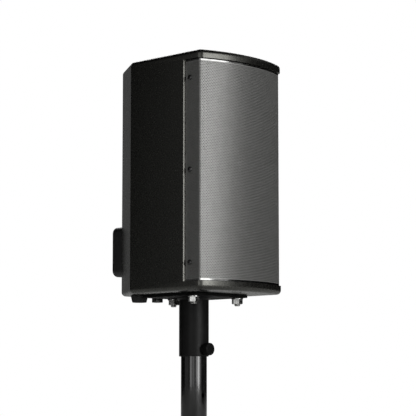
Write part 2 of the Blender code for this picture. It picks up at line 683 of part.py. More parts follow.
def build_sockets(materials):
    """Panel sockets: square flange outside the housing, round body through it, cavity and key post."""
    face = HOUSING_DEPTH + GAP
    made = []
    for side, x in (("left", -SOCKET_X), ("right", SOCKET_X)):
        place = (x, REAR_Y, HOUSING_Z)
        flange = rectangle(13.6, 15.5, 2.5)
        socket = prism(f"speaker_socket_{side}", flange, face, face + 2, materials["socket_plastic"],
                       place, BACKWARD)
        body = rod(
            f"socket_body_{side}", SOCKET_BODY_RADIUS, face - SOCKET_DEPTH, face + 1, None, place, BACKWARD, 24)
        floor, outside = face - SOCKET_CAVITY_DEPTH, face + BEYOND
        ring = [
            (SOCKET_POST_RADIUS, floor), (SOCKET_CAVITY_RADIUS, floor),
            (SOCKET_CAVITY_RADIUS, outside), (SOCKET_POST_RADIUS, outside),
        ]
        cavity = turned(f"socket_cavity_{side}", ring, None, place, BACKWARD, 24)
        trim_radius = SOCKET_POST_RADIUS + 1
        trim = rod(f"socket_post_trim_{side}", trim_radius, face - 2, outside + 1, None, place, BACKWARD, 24)
        modify(socket, "UNION", body)
        modify(socket, "DIFFERENCE", cavity)
        modify(socket, "DIFFERENCE", trim)
        made.append(socket)
    return made


def build_feet(materials):
    """Two tapered rubber feet under the back edge, and the capped rigging point between them."""
    top, bottom, height = FOOT_TOP_RADIUS, FOOT_BOTTOM_RADIUS, FOOT_HEIGHT
    foot = [
        (0, 5.5), (3.6, 5.5), (3.8, height), (bottom - 1, height),
        (bottom, height - 1), (top - 0.6, 1.4), (top, GAP), (0, GAP),
    ]
    made = []
    for side, direction in (("left", -1), ("right", 1)):
        place = (direction * FOOT_PLACE[0], FOOT_PLACE[1], BASE_Z)
        made.append(turned(f"rear_foot_{side}", foot, materials["rubber"], place, DOWN))
    head, tall = RIGGING_HEAD_RADIUS, RIGGING_HEAD_HEIGHT + GAP
    screw = [
        (0, 4), (3.2, 4), (3.2, tall), (head - 0.8, tall), (head, tall - 0.8), (head, GAP),
        (STUD_RADIUS, GAP), (STUD_RADIUS, -STUD_GRIP), (0, -STUD_GRIP),
    ]
    made.append(turned("rigging_screw", screw, materials["black_screw"], (0, RIGGING_Y, BASE_Z), DOWN, 20))
    return made


def build_adapter(materials):
    """Square plate bolted under the cabinet, and the sleeve that slides over the pole."""
    plate_top = BASE_Z - GAP
    plate_bottom = BASE_Z - PLATE_THICKNESS
    outline = rectangle(PLATE_HALF, PLATE_HALF, PLATE_CORNER)
    plate = prism("adapter_plate", outline, plate_bottom, plate_top, materials["black_paint"],
                  (0, PLATE_Y, 0))
    studs = [(x, y, 0) for x, y in STUD_PLACES.values()]
    modify(plate, "DIFFERENCE", rods_in_one(
        "plate_hole_cutter", STUD_RADIUS + 0.5, plate_bottom - BEYOND, plate_top + BEYOND, studs, UP))
    sleeve_top = plate_bottom - GAP
    outer, bore = SLEEVE_RADIUS, SLEEVE_BORE_RADIUS
    profile = [
        (bore, SLEEVE_BOTTOM_Z + 0.5), (bore + 0.5, SLEEVE_BOTTOM_Z), (outer - 0.5, SLEEVE_BOTTOM_Z),
        (outer, SLEEVE_BOTTOM_Z + 0.5), (outer, sleeve_top), (bore, sleeve_top),
    ]
    sleeve = turned("socket_sleeve", profile, materials["black_paint"], segments=32)
    clamp = (0, 0, CLAMP_Z)
    modify(sleeve, "UNION", rod(
        "clamp_insert", CLAMP_INSERT_RADIUS, outer - 1.4, outer + 0.8, None, clamp, FORWARD, 24))
    modify(sleeve, "DIFFERENCE", rod(
        "clamp_bore_cutter", CLAMP_BORE_RADIUS, bore - BEYOND, outer + BEYOND, None, clamp, FORWARD, 20))
    return [plate, sleeve]


def build_plate_fixings(materials):
    """Studs screwed up into the cabinet, each with a nut and its washer below the plate."""
    made = []
    nut_top = BASE_Z - PLATE_THICKNESS - GAP
    corner_radius = NUT_ACROSS_FLATS / math.sqrt(3)
    turns = [math.radians(60 * k) for k in range(6)]
    hexagon = [(corner_radius * math.cos(turn), corner_radius * math.sin(turn)) for turn in turns]
    nut_bottom = nut_top - WASHER_HEIGHT - NUT_HEIGHT
    for side, (x, y) in STUD_PLACES.items():
        stud = [
            (0, STUD_END_Z), (STUD_RADIUS - 0.9, STUD_END_Z), (STUD_RADIUS, STUD_END_Z + 0.9),
            (STUD_RADIUS, BASE_Z + STUD_GRIP), (0, BASE_Z + STUD_GRIP),
        ]
        place = (x, y, 0)
        made.append(turned(f"plate_stud_{side}", stud, materials["zinc_steel"], place))
        nut = prism(
            f"plate_nut_{side}", hexagon, nut_bottom, nut_top - 0.6, materials["zinc_steel"], place)
        washer = rod(f"washer_{side}", WASHER_RADIUS, nut_top - WASHER_HEIGHT, nut_top, None, place, UP, 24)
        bore = rod(
            f"nut_bore_{side}", STUD_RADIUS + GAP, nut_bottom - BEYOND, nut_top + BEYOND, None, place, UP, 16)
        modify(nut, "UNION", washer)
        modify(nut, "DIFFERENCE", bore)
        made.append(nut)
    return made


def build_clamp(materials):
    """Knob with its screw, and the pad at the screw's tip that presses on the pole."""
    screw, knob = CLAMP_SCREW_RADIUS, KNOB_RADIUS
    tip = SLEEVE_RADIUS - 0.4
    knob_profile = [
        (0, KNOB_FACE), (knob - 1.8, KNOB_FACE - 0.2), (knob, KNOB_FACE - 1.8), (knob, KNOB_INNER + 1.2),
        (knob - 1.2, KNOB_INNER), (screw, KNOB_INNER), (screw, tip), (0, tip),
    ]
    pad_face = POLE_RADIUS + GAP
    pad_radius = screw - 0.1
    pad_profile = [
        (0, tip - GAP), (pad_radius, tip - GAP), (pad_radius, pad_face + 0.4),
        (pad_radius - 0.5, pad_face), (0, pad_face),
    ]
    place = (0, 0, CLAMP_Z)
    return [
        turned("clamp_knob", knob_profile, materials["black_plastic"], place, FORWARD, 28),
        turned("clamp_pad", pad_profile, materials["brass"], place, FORWARD, 20),
    ]


def build_pole(materials):
    """Top length of the stand's 35 mm tube, with a plug in each end."""
    outer, bore, spigot = POLE_RADIUS, POLE_BORE_RADIUS, PLUG_SPIGOT_RADIUS
    foot = END_PLUG_FLANGE
    top = POLE_TOP_Z
    low, high = foot + GAP, top - GAP
    tube_profile = [(bore, low), (outer, low), (outer, high), (bore, high)]
    tube = turned("pole_tube", tube_profile, materials["pole_gloss"], segments=36)
    reach = outer + BEYOND
    modify(tube, "DIFFERENCE", rod(
        "pin_hole_cutter", PIN_HOLE_RADIUS, -reach, reach, None, (0, 0, PIN_HOLE_Z), FORWARD, 16))
    end_profile = [
        (0, 0), (outer - 1.2, 0), (outer, 1.2), (outer, foot),
        (spigot, foot), (spigot, foot + PLUG_DEPTH), (0, foot + PLUG_DEPTH),
    ]
    end_plug = turned("pole_end_plug", end_profile, materials["black_plastic"], segments=24)
    top_profile = [
        (0, top - PLUG_DEPTH), (spigot, top - PLUG_DEPTH), (spigot, top),
        (outer, top), (outer, top + 3), (outer - 1, top + 4), (0, top + 4),
    ]
    top_plug = turned("pole_top_plug", top_profile, materials["black_plastic"], segments=24)
    return [tube, end_plug, top_plug]


def hang_on_axis(name, place, pieces):
    """Parents pieces to an empty that marks the axis they move on."""
    axis = bpy.data.objects.new(name, None)
    axis.location = Vector(place) * MM
    bpy.context.scene.collection.objects.link(axis)
    for piece in pieces:
        piece.parent = axis
        piece.matrix_parent_inverse = Matrix.Translation(axis.location).inverted()


def main():
    clear_scene()
    materials = make_materials()
    fixed_parts = (
        build_cabinet, build_baffle, build_grille, build_grille_screws, build_driver_screws,
        build_woofer_frame, build_woofer_motor, build_woofer_suspension, build_horn, build_ports,
        build_crossover, build_terminals, build_sockets, build_feet, build_adapter, build_plate_fixings,
    )
    speaker = [piece for build in fixed_parts for piece in build(materials)]
    housing, diaphragm, cover = build_hf_driver(materials)
    cone_parts = build_woofer_cone(materials)
    knob, pad = build_clamp(materials)
    tube, end_plug, top_plug = build_pole(materials)
    hang_on_axis("swivel_axis", (0, 0, BASE_Z), speaker + [housing, cover, top_plug])
    hang_on_axis("woofer_axis", (0, BAFFLE_FRONT_Y, WOOFER_Z), cone_parts)
    hang_on_axis("diaphragm_axis", (0, BAFFLE_FRONT_Y, HORN_Z), [diaphragm])
    hang_on_axis("clamp_axis", (0, -KNOB_INNER, CLAMP_Z), [pad, knob])
    hang_on_axis("pole_axis", (0, 0, 0), [tube, end_plug])


main()
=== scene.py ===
"""Looks of the pole-mounted loudspeaker: fine pieces, finishes, camera, lights and floor."""

import math

import bmesh
import bpy
import numpy as np
from mathutils import Matrix, Vector, noise


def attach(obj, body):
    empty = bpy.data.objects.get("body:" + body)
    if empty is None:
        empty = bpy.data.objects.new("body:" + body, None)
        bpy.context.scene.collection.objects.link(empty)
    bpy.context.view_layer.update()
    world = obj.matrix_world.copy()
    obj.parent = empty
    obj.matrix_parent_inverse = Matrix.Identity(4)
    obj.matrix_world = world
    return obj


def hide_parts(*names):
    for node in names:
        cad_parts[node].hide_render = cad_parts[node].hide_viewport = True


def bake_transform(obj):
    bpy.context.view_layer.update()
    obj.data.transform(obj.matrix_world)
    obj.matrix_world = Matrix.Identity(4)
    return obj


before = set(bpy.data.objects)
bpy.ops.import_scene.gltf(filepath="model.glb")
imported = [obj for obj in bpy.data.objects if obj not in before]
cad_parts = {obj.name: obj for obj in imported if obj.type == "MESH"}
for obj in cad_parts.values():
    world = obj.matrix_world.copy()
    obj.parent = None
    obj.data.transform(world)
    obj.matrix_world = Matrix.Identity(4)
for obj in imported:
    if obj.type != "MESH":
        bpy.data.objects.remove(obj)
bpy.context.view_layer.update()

MM = 0.001
UP = Vector((0, 0, 1))
DOWN = Vector((0, 0, -1))
FORWARD = Vector((0, -1, 0))
BACKWARD = Vector((0, 1, 0))
RIGHT = Vector((1, 0, 0))
LEFT = Vector((-1, 0, 0))

# Sizes of the CAD model that the fine pieces repeat, in millimetres
BASE_Z = 200.0
TOP_Z = 515.5
HALF_WIDTH = 80.5
FRONT_Y = -88.0
FRONT_RADIUS = 190.0
ARC_CENTRE_Y = FRONT_Y + math.sqrt(FRONT_RADIUS**2 - HALF_WIDTH**2)
CHAMFER_START_Y = 40.9
REAR_Y = 98.0
REAR_HALF_WIDTH = 43.0
CORNER_RADIUS = 4.0
FRONT_CORNER_RADIUS = 10.0
EDGE_RADIUS = 6.0
WALL = 12.0
PANEL = 11.8
FLOOR_Z = BASE_Z + PANEL
CEILING_Z = TOP_Z - PANEL
MID_Z = (BASE_Z + TOP_Z) / 2
GAP = 0.3

GRILLE_INSET = 3.0
GRILLE_SHEET = 1.0
GRILLE_BEND = 2.5
GRILLE_END_Y = FRONT_Y + 27.2
GRILLE_LOW = FLOOR_Z + 1.0
GRILLE_HIGH = CEILING_Z - 1.0
RECESS_HALF_WIDTH = HALF_WIDTH - GRILLE_INSET - GRILLE_SHEET - GAP
GRILLE_SCREW_Y = GRILLE_END_Y - 8.0
GRILLE_SCREW_HEIGHTS = (MID_Z - 121.6, MID_Z, MID_Z + 121.6)
RECESS_SLOPE = 1.5  # how far the recess's back face leans
HOLE_PITCH = 2.36
HOLE_RADIUS = 0.72
HEM = 1.9

BAFFLE_Y = FRONT_Y + 14.0
WOOFER_Z = BASE_Z + 82.0
HORN_Z = BASE_Z + 236.0
HOUSING_Z = BASE_Z + 63.3
HOUSING_DEPTH = 25.2
SOCKET_PLACES = (-16.0, 16.0)
STUD_PLACES = {"left": (-42.0, -41.0), "right": (42.0, -41.0), "rear": (0.0, 39.0)}
CLAMP_Z = BASE_Z - 73.6
FOOT_X = 41.0
FOOT_Y = 64.0
RIGGING_Y = 71.0
PLATE_HALF = 51.0
PLATE_Y = -2.0
PLATE_THICKNESS = 4.0
SLEEVE_RADIUS = 20.1
SLEEVE_BORE_RADIUS = 18.1
POLE_RADIUS = 17.5
POLE_BORE_RADIUS = 15.5
POLE_TOP_Z = BASE_Z - PLATE_THICKNESS - 4.4
PIN_HOLE_Z = BASE_Z - 135.3
PIN_HOLE_RADIUS = 3.0
PILOT_RADIUS = 2.2
STUD_HOLE_RADIUS = 4.3
STUD_RADIUS = 4.0
SCREW_HEAD_RADIUS = 3.6
SCREW_SHANK_RADIUS = 1.9
BEYOND = 5.0  # how far a cutter runs past the faces that it opens


# ---------------------------------------------------------------- materials

class Nodes:
    """A Principled material and short calls that add nodes to it."""

    def __init__(self, name, colour, roughness, metallic=0.0, **sockets):
        self.material = bpy.data.materials.new(name)
        self.material.use_nodes = True
        self.tree = self.material.node_tree
        self.shader = self.tree.nodes["Principled BSDF"]
        self.shader.inputs["Base Color"].default_value = (*colour, 1.0)
        self.shader.inputs["Roughness"].default_value = roughness
        self.shader.inputs["Metallic"].default_value = metallic
        for socket, value in sockets.items():
            self.shader.inputs[socket.replace("_", " ")].default_value = value
        self.place = self.node("ShaderNodeTexCoord").outputs["Object"]

    def node(self, kind, **settings):
        made = self.tree.nodes.new(kind)
        for key, value in settings.items():
            setattr(made, key, value)
        return made

    def link(self, source, target):
        self.tree.links.new(source, target)

    def noise(self, scale, detail=4.0, roughness=0.55, stretch=(1, 1, 1)):
        place = self.place
        if stretch != (1, 1, 1):
            mapping = self.node("ShaderNodeMapping")
            mapping.inputs["Scale"].default_value = stretch
            self.link(self.place, mapping.inputs["Vector"])
            place = mapping.outputs["Vector"]
        texture = self.node("ShaderNodeTexNoise")
        texture.inputs["Scale"].default_value = scale
        texture.inputs["Detail"].default_value = detail
        texture.inputs["Roughness"].default_value = roughness
        self.link(place, texture.inputs["Vector"])
        return texture.outputs["Fac"]

    def cells(self, scale, feature="F1", randomness=1.0):
        texture = self.node("ShaderNodeTexVoronoi", feature=feature)
        texture.inputs["Scale"].default_value = scale
        texture.inputs["Randomness"].default_value = randomness
        self.link(self.place, texture.inputs["Vector"])
        return texture.outputs["Distance"]

    def spread(self, value, low, high, start=0.3, end=0.7):
        """Maps a value onto a range."""
        ramp = self.node("ShaderNodeMapRange")
        ramp.inputs["From Min"].default_value = start
        ramp.inputs["From Max"].default_value = end
        ramp.inputs["To Min"].default_value = low
        ramp.inputs["To Max"].default_value = high
        self.link(value, ramp.inputs["Value"])
        return ramp.outputs["Result"]

    def colours(self, value, first, second, start=0.35, end=0.65):
        ramp = self.node("ShaderNodeValToRGB")
        ramp.color_ramp.elements[0].position = start
        ramp.color_ramp.elements[0].color = (*first, 1)
        ramp.color_ramp.elements[1].position = end
        ramp.color_ramp.elements[1].color = (*second, 1)
        self.link(value, ramp.inputs["Fac"])
        self.link(ramp.outputs["Color"], self.shader.inputs["Base Color"])
        return ramp

    def rough(self, value, low, high, start=0.3, end=0.7):
        self.link(self.spread(value, low, high, start, end), self.shader.inputs["Roughness"])

    def bump(self, value, strength, depth):
        """Adds a bump of a depth in metres on top of the earlier ones."""
        bump = self.node("ShaderNodeBump")
        bump.inputs["Strength"].default_value = strength
        bump.inputs["Distance"].default_value = depth
        self.link(value, bump.inputs["Height"])
        normal = self.shader.inputs["Normal"]
        if normal.links:
            self.link(normal.links[0].from_socket, bump.inputs["Normal"])
        self.link(bump.outputs["Normal"], normal)


def shade(level, tint=(1, 1, 1)):
    return tuple(level * part for part in tint)


def painted(name, level, roughness, grain, depth, tint=(1, 1, 1), patchy=0.16, **sockets):
    """Paint with a fine grain; grain is the number of grains to a metre."""
    made = Nodes(name, shade(level, tint), roughness, **sockets)
    patches = made.noise(grain / 25, 3)
    made.colours(patches, shade(level * (1 - patchy), tint), shade(level * (1 + patchy), tint))
    made.rough(made.noise(grain / 6, 4), roughness - 0.4 * patchy, roughness + 0.4 * patchy)
    made.bump(made.noise(grain, 2), 0.5, depth)
    return made


def make_materials():
    made = {}

    cabinet = painted("cabinet_paint", 0.006, 0.28, 1500, 0.00001, (1, 1, 0.90), 0.1, Specular_IOR_Level=1.0)
    cabinet.shader.inputs["Specular Tint"].default_value = (1.0, 1.0, 0.92, 1.0)
    cabinet.bump(cabinet.cells(700), 0.15, 0.000014)
    made["cabinet_paint"] = cabinet

    made["baffle_paint"] = painted("baffle_paint", 0.010, 0.7, 1100, 0.00015)
    grille = painted("grille_paint", 0.235, 0.40, 2400, 0.00001, (1, 1, 0.97), 0.04, Metallic=0.5)
    made["grille_paint"] = grille
    hem = painted("grille_hem_paint", 0.22, 0.15, 2400, 0.000003, (1, 1, 0.98), Metallic=1.0)
    made["grille_hem_paint"] = hem

    foam = Nodes("acoustic_foam", shade(0.012), 0.95)
    foam.colours(foam.cells(900), shade(0.004), shade(0.016), 0.1, 0.6)
    foam.bump(foam.cells(900), 0.9, 0.0006)
    made["acoustic_foam"] = foam

    screw = painted("black_screw", 0.012, 0.20, 900, 0.00001, Specular_IOR_Level=0.9)
    made["black_screw"] = screw

    zinc = Nodes("zinc_steel", shade(0.45, (1, 1, 0.98)), 0.24, 1.0)
    zinc.colours(zinc.noise(500, 5), (0.36, 0.36, 0.35), (0.54, 0.54, 0.53))
    zinc.rough(zinc.noise(900, 3), 0.18, 0.32)
    zinc.bump(zinc.noise(1800, 3), 0.3, 0.00002)
    made["zinc_steel"] = zinc

    adapter = painted("adapter_paint", 0.006, 0.42, 1300, 0.00002, Specular_IOR_Level=0.16)
    made["adapter_paint"] = adapter
    made["plate_paint"] = painted("plate_paint", 0.006, 0.65, 1300, 0.00003, Specular_IOR_Level=0.08)

    pole = Nodes("pole_gloss", shade(0.008), 0.09, Specular_IOR_Level=0.8)
    pole.colours(pole.noise(60, 4), shade(0.006), shade(0.011))
    pole.rough(pole.noise(220, 5, 0.6, (1, 1, 0.05)), 0.06, 0.13)
    pole.bump(pole.noise(160, 3), 0.05, 0.0001)
    made["pole_gloss"] = pole

    knob = painted("knob_plastic", 0.005, 0.55, 2600, 0.00006, Specular_IOR_Level=0.11)
    made["knob_plastic"] = knob
    made["black_plastic"] = painted("black_plastic", 0.011, 0.48, 1600, 0.00005)
    made["horn_plastic"] = painted("horn_plastic", 0.014, 0.42, 1800, 0.00003)
    made["socket_plastic"] = painted("socket_plastic", 0.016, 0.40, 2000, 0.00003)

    rubber = painted("foot_rubber", 0.011, 0.78, 900, 0.00008)
    made["foot_rubber"] = rubber
    made["gasket_rubber"] = painted("gasket_rubber", 0.009, 0.85, 700, 0.0001)
    surround = painted("surround_rubber", 0.010, 0.62, 700, 0.00004)
    made["surround_rubber"] = surround

    cast = painted("cast_frame", 0.03, 0.55, 1200, 0.0001, Metallic=0.5)
    made["cast_frame"] = cast

    ferrite = painted("ferrite", 0.045, 0.62, 1600, 0.0001, (1, 1, 1.08))
    made["ferrite"] = ferrite

    paper = Nodes("paper_cone", (0.020, 0.019, 0.018), 0.9)
    fibres = paper.noise(650, 6, 0.7)
    paper.colours(fibres, (0.012, 0.011, 0.010), (0.034, 0.032, 0.029))
    paper.bump(fibres, 0.6, 0.00015)
    made["paper_cone"] = paper

    spider = Nodes("spider_cloth", (0.35, 0.22, 0.08), 0.9)
    weave = spider.cells(1400, randomness=0.25)
    spider.colours(weave, (0.42, 0.28, 0.11), (0.16, 0.09, 0.03), 0.2, 0.6)
    spider.bump(weave, 0.6, 0.0002)
    made["spider_cloth"] = spider

    copper = Nodes("coil_copper", (0.60, 0.26, 0.10), 0.32, 1.0)
    turns = copper.node("ShaderNodeTexWave", wave_type="BANDS", bands_direction="Y")
    turns.inputs["Scale"].default_value = 600
    copper.link(copper.place, turns.inputs["Vector"])
    copper.colours(turns.outputs["Fac"], (0.30, 0.11, 0.04), (0.72, 0.33, 0.14), 0.1, 0.6)
    copper.bump(turns.outputs["Fac"], 0.8, 0.0001)
    made["coil_copper"] = copper

    titanium = Nodes("titanium", (0.48, 0.47, 0.45), 0.34, 1.0)
    titanium.colours(titanium.noise(300, 4), (0.40, 0.39, 0.37), (0.55, 0.54, 0.51))
    titanium.rough(titanium.noise(900, 3), 0.25, 0.42)
    made["titanium"] = titanium

    board = Nodes("circuit_board", (0.02, 0.12, 0.05), 0.45)
    tracks = board.cells(110, "DISTANCE_TO_EDGE", 0.6)
    board.colours(tracks, (0.05, 0.20, 0.09), (0.015, 0.10, 0.04), 0.04, 0.08)
    board.bump(tracks, 0.3, 0.0001)
    made["circuit_board"] = board

    film = Nodes("capacitor_film", (0.55, 0.10, 0.05), 0.35)
    film.colours(film.noise(150, 3), (0.45, 0.07, 0.03), (0.62, 0.13, 0.06))
    film.rough(film.noise(400, 3), 0.28, 0.42)
    made["capacitor_film"] = film

    brass = Nodes("brass", (0.60, 0.43, 0.16), 0.35, 1.0)
    brass.colours(brass.noise(500, 4), (0.50, 0.35, 0.12), (0.66, 0.49, 0.20))
    brass.rough(brass.noise(900, 3), 0.28, 0.44)
    made["brass"] = brass
    return {name: nodes.material for name, nodes in made.items()}


# ---------------------------------------------------------------- modelling

def finished(name, bm, place=(0, 0, 0), axis=UP, sharp=32):
    """Object in the row frame from a bmesh in millimetres whose own axis is +Z."""
    turn = UP.rotation_difference(axis).to_matrix().to_4x4()
    bm.transform(Matrix.Translation(Vector(place) * MM) @ turn @ Matrix.Scale(MM, 4))
    bmesh.ops.recalc_face_normals(bm, faces=bm.faces)
    mesh = bpy.data.meshes.new(name)
    bm.to_mesh(mesh)
    bm.free()
    smooth(mesh, sharp)
    obj = bpy.data.objects.new(name, mesh)
    bpy.context.scene.collection.objects.link(obj)
    return obj


def smooth(mesh, sharp=32):
    mesh.shade_smooth()
    mesh.set_sharp_from_angle(angle=math.radians(sharp))


def applied(obj, sharp=32):
    """Turns the object's modifiers into its mesh."""
    depsgraph = bpy.context.evaluated_depsgraph_get()
    mesh = bpy.data.meshes.new_from_object(obj.evaluated_get(depsgraph))
    old = obj.data
    obj.modifiers.clear()
    obj.data = mesh
    bpy.data.meshes.remove(old)
    smooth(mesh, sharp)
    return obj


def cut(obj, *cutters, operation="DIFFERENCE", sharp=32):
    for cutter in cutters:
        boolean = obj.modifiers.new("cut", "BOOLEAN")
        boolean.operation = operation
        boolean.solver = "EXACT"
        boolean.object = cutter
    applied(obj, sharp)
    for cutter in cutters:
        mesh = cutter.data
        bpy.data.objects.remove(cutter)
        bpy.data.meshes.remove(mesh)
    return obj


def bevelled(obj, width, segments=3, angle=30):
    bevel = obj.modifiers.new("edges", "BEVEL")
    bevel.width = width * MM
    bevel.segments = segments
    bevel.limit_method = "ANGLE"
    bevel.angle_limit = math.radians(angle)
    bevel.harden_normals = False
    return applied(obj, 40)


def show(obj, material, body, *nodes, slot=None):
    """Gives a piece its material and body, and hides the CAD nodes that it stands for."""
    obj.data.materials.clear()
    obj.data.materials.append(materials[material])
    if body:
        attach(obj, body)
    if nodes:
        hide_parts(*nodes)
    return obj


def filleted(corners, steps=8):
    """Closed outline from (x, y, radius) corners, with each radius turned into an arc."""
    outline = []
    for index, (x, y, radius) in enumerate(corners):
        here = Vector((x, y))
        if radius <= 0:
            outline.append(here)
            continue
        before = (Vector(corners[index - 1][:2]) - here).normalized()
        after = (Vector(corners[(index + 1) % len(corners)][:2]) - here).normalized()
        half = before.angle(after) / 2
        centre = here + (before + after).normalized() * radius / math.sin(half)
        spoke = here + before * radius / math.tan(half) - centre
        sweep = math.copysign(math.pi - 2 * half, -before.cross(after))
        for step in range(steps + 1):
            outline.append(centre + Matrix.Rotation(sweep * step / steps, 2) @ spoke)
    return outline


def rectangle(half_x, half_y, radius, steps=8):
    corners = [(-half_x, -half_y), (half_x, -half_y), (half_x, half_y), (-half_x, half_y)]
    return filleted([(x, y, radius) for x, y in corners], steps)


def loft(rings, closed=False):
    """Skins a stack of (outline, height) rings, capped at both ends or joined into a tunnel."""
    bm = bmesh.new()
    loops = [[bm.verts.new((p[0], p[1], z)) for p in ring] for ring, z in rings]
    pairs = list(zip(loops, loops[1:]))
    if closed:
        pairs.append((loops[-1], loops[0]))
    for lower, upper in pairs:
        for i in range(len(lower)):
            bm.faces.new((lower[i - 1], lower[i], upper[i], upper[i - 1]))
    if not closed:
        bm.faces.new(loops[0])
        bm.faces.new(loops[-1])
    return bm


def spun(profile, segments=64):
    """Solid of revolution about +Z from (radius, height) points."""
    bm = bmesh.new()
    verts = [bm.verts.new((radius, 0, along)) for radius, along in profile]
    edges = [bm.edges.new(pair) for pair in zip(verts, verts[1:])]
    if profile[0][0] > 0:
        edges.append(bm.edges.new((verts[-1], verts[0])))
    bmesh.ops.spin(
        bm, geom=verts + edges, cent=(0, 0, 0), axis=UP, angle=2 * math.pi, steps=segments, use_merge=True
    )
    bmesh.ops.remove_doubles(bm, verts=bm.verts, dist=1e-4)
    return bm


def rounded(profile, radius=0.4, steps=3):
    """Open profile with each inner corner turned into a small arc."""
    made = [Vector(profile[0])]
    for before, here, after in zip(profile, profile[1:], profile[2:]):
        before, here, after = Vector(before), Vector(here), Vector(after)
        reach = min(radius, 0.45 * (before - here).length, 0.45 * (after - here).length)
        start = here + (before - here).normalized() * reach
        end = here + (after - here).normalized() * reach
        for step in range(steps + 1):
            t = step / steps
            made.append(start * (1 - t) ** 2 + here * 2 * t * (1 - t) + end * t * t)
    made.append(Vector(profile[-1]))
    return [tuple(point) for point in made]


def rod(radius, low, high, segments=48):
    return spun([(0, low), (radius, low), (radius, high), (0, high)], segments)


def hexagon(across_flats, turn=0):
    corner = across_flats / math.sqrt(3)
    angles = [math.radians(60 * k + turn) for k in range(6)]
    return [(corner * math.cos(a), corner * math.sin(a)) for a in angles]


# ---------------------------------------------------------------- cabinet

def back_corners(inset):
    chamfer = Vector((HALF_WIDTH - REAR_HALF_WIDTH, REAR_Y - CHAMFER_START_Y))
    normal = Vector((chamfer.y, chamfer.x)).normalized()
    level = normal.dot(Vector((HALF_WIDTH, CHAMFER_START_Y))) - inset
    side_x = HALF_WIDTH - inset
    rear_y = REAR_Y - inset
    side_corner = (side_x, (level - normal.x * side_x) / normal.y)
    rear_corner = ((level - normal.y * rear_y) / normal.x, rear_y)
    right = [side_corner, rear_corner]
    return right + [(-x, y) for x, y in reversed(right)]


def front_arc(half_width, inset, steps):
    reach = math.asin(half_width / (FRONT_RADIUS - inset))
    points = []
    for step in range(steps + 1):
        angle = reach * (2 * step / steps - 1)
        radius = FRONT_RADIUS - inset
        points.append((radius * math.sin(angle), ARC_CENTRE_Y - radius * math.cos(angle)))
    return points


def front_corner(inset, bend):
    """Centre of the bend from the curved front into the right side, and the angle where it starts."""
    bend_x = HALF_WIDTH - inset - bend
    reach = FRONT_RADIUS - inset - bend
    angle = math.asin(bend_x / reach)
    return Vector((bend_x, ARC_CENTRE_Y - reach * math.cos(angle))), angle


def cabinet_outline(inset, arc_steps=72):
    """Plan of the cabinet, moved inward: the curved front with its two corners, then the back."""
    radius = max(CORNER_RADIUS - inset, 0.3)
    front_radius = FRONT_CORNER_RADIUS - inset
    centre, start = front_corner(inset, front_radius)
    arc = front_arc((FRONT_RADIUS - inset) * math.sin(start), inset, arc_steps)
    turns = [start + (math.pi / 2 - start) * step / 8 for step in range(1, 9)]
    right = [(centre.x + front_radius * math.sin(t), centre.y - front_radius * math.cos(t)) for t in turns]
    left = [(-x, y) for x, y in reversed(right)]
    back = filleted([(*right[-1], 0)] + [(x, y, radius) for x, y in back_corners(inset)] + [(*left[0], 0)])
    return left[1:] + arc + right[:-1] + back


def cabinet_space():
    beyond = HALF_WIDTH + 20
    inner = HALF_WIDTH - WALL
    right = [
        (beyond, FRONT_Y - 40),
        (beyond, GRILLE_END_Y + RECESS_SLOPE),
        (HALF_WIDTH, GRILLE_END_Y + RECESS_SLOPE),
        (RECESS_HALF_WIDTH + 1, GRILLE_END_Y),
        (RECESS_HALF_WIDTH, GRILLE_END_Y),
        (RECESS_HALF_WIDTH, BAFFLE_Y),
        (inner, BAFFLE_Y),
    ]
    left = [(-x, y) for x, y in reversed(right)]
    return right + back_corners(WALL) + left


def build_cabinet():
    turns = [math.pi / 2 * step / 7 for step in range(8)]
    edge = [(EDGE_RADIUS * (1 - math.sin(t)), EDGE_RADIUS * (1 - math.cos(t))) for t in turns]
    rings = [(cabinet_outline(inset), BASE_Z + rise) for inset, rise in edge]
    rings += [(cabinet_outline(inset), TOP_Z - rise) for inset, rise in reversed(edge)]
    shell = finished("cabinet_body", loft(rings))
    space = finished("space", loft([(cabinet_space(), FLOOR_Z), (cabinet_space(), CEILING_Z)]))
    cutters = [space]
    for axis in (LEFT, RIGHT):
        for z in GRILLE_SCREW_HEIGHTS:
            place = (0, GRILLE_SCREW_Y, z)
            pilot = rod(PILOT_RADIUS, HALF_WIDTH - WALL + 1.5, HALF_WIDTH + BEYOND, 16)
            cutters.append(finished("pilot", pilot, place, axis))
    outline = rectangle(30, 19, 4)
    opening = loft([(outline, -WALL - BEYOND), (outline, BEYOND)])
    cutters.append(finished("opening", opening, (0, REAR_Y, HOUSING_Z), BACKWARD))
    for x, y in (*STUD_PLACES.values(), (0, RIGGING_Y)):
        cutters.append(finished("stud_hole", rod(STUD_HOLE_RADIUS, -BEYOND, 10, 24), (x, y, BASE_Z)))
    cut(shell, *cutters)
    show(shell, "cabinet_paint", "speaker", "cabinet_shell")


# ---------------------------------------------------------------- grille

def sheet_path(s):
    """Point and normal of the grille's outer face, s millimetres along the sheet from its middle."""
    radius = FRONT_RADIUS - GRILLE_INSET
    centre, arc_angle = front_corner(GRILLE_INSET, GRILLE_BEND)
    arc_length = radius * arc_angle
    bend_length = GRILLE_BEND * (math.pi / 2 - arc_angle)
    run = np.abs(s)
    angle = np.where(
        run < arc_length, run / radius, np.minimum(arc_angle + (run - arc_length) / GRILLE_BEND, math.pi / 2)
    )
    on_arc = run < arc_length
    x = np.where(on_arc, radius * np.sin(angle), centre.x + GRILLE_BEND * np.sin(angle))
    y = np.where(on_arc, ARC_CENTRE_Y - radius * np.cos(angle), centre.y - GRILLE_BEND * np.cos(angle))
    y = y + np.maximum(run - arc_length - bend_length, 0)
    side = np.sign(s)
    normal = np.stack([side * np.sin(angle), -np.cos(angle)], -1)
    return np.stack([side * x, y], -1), normal


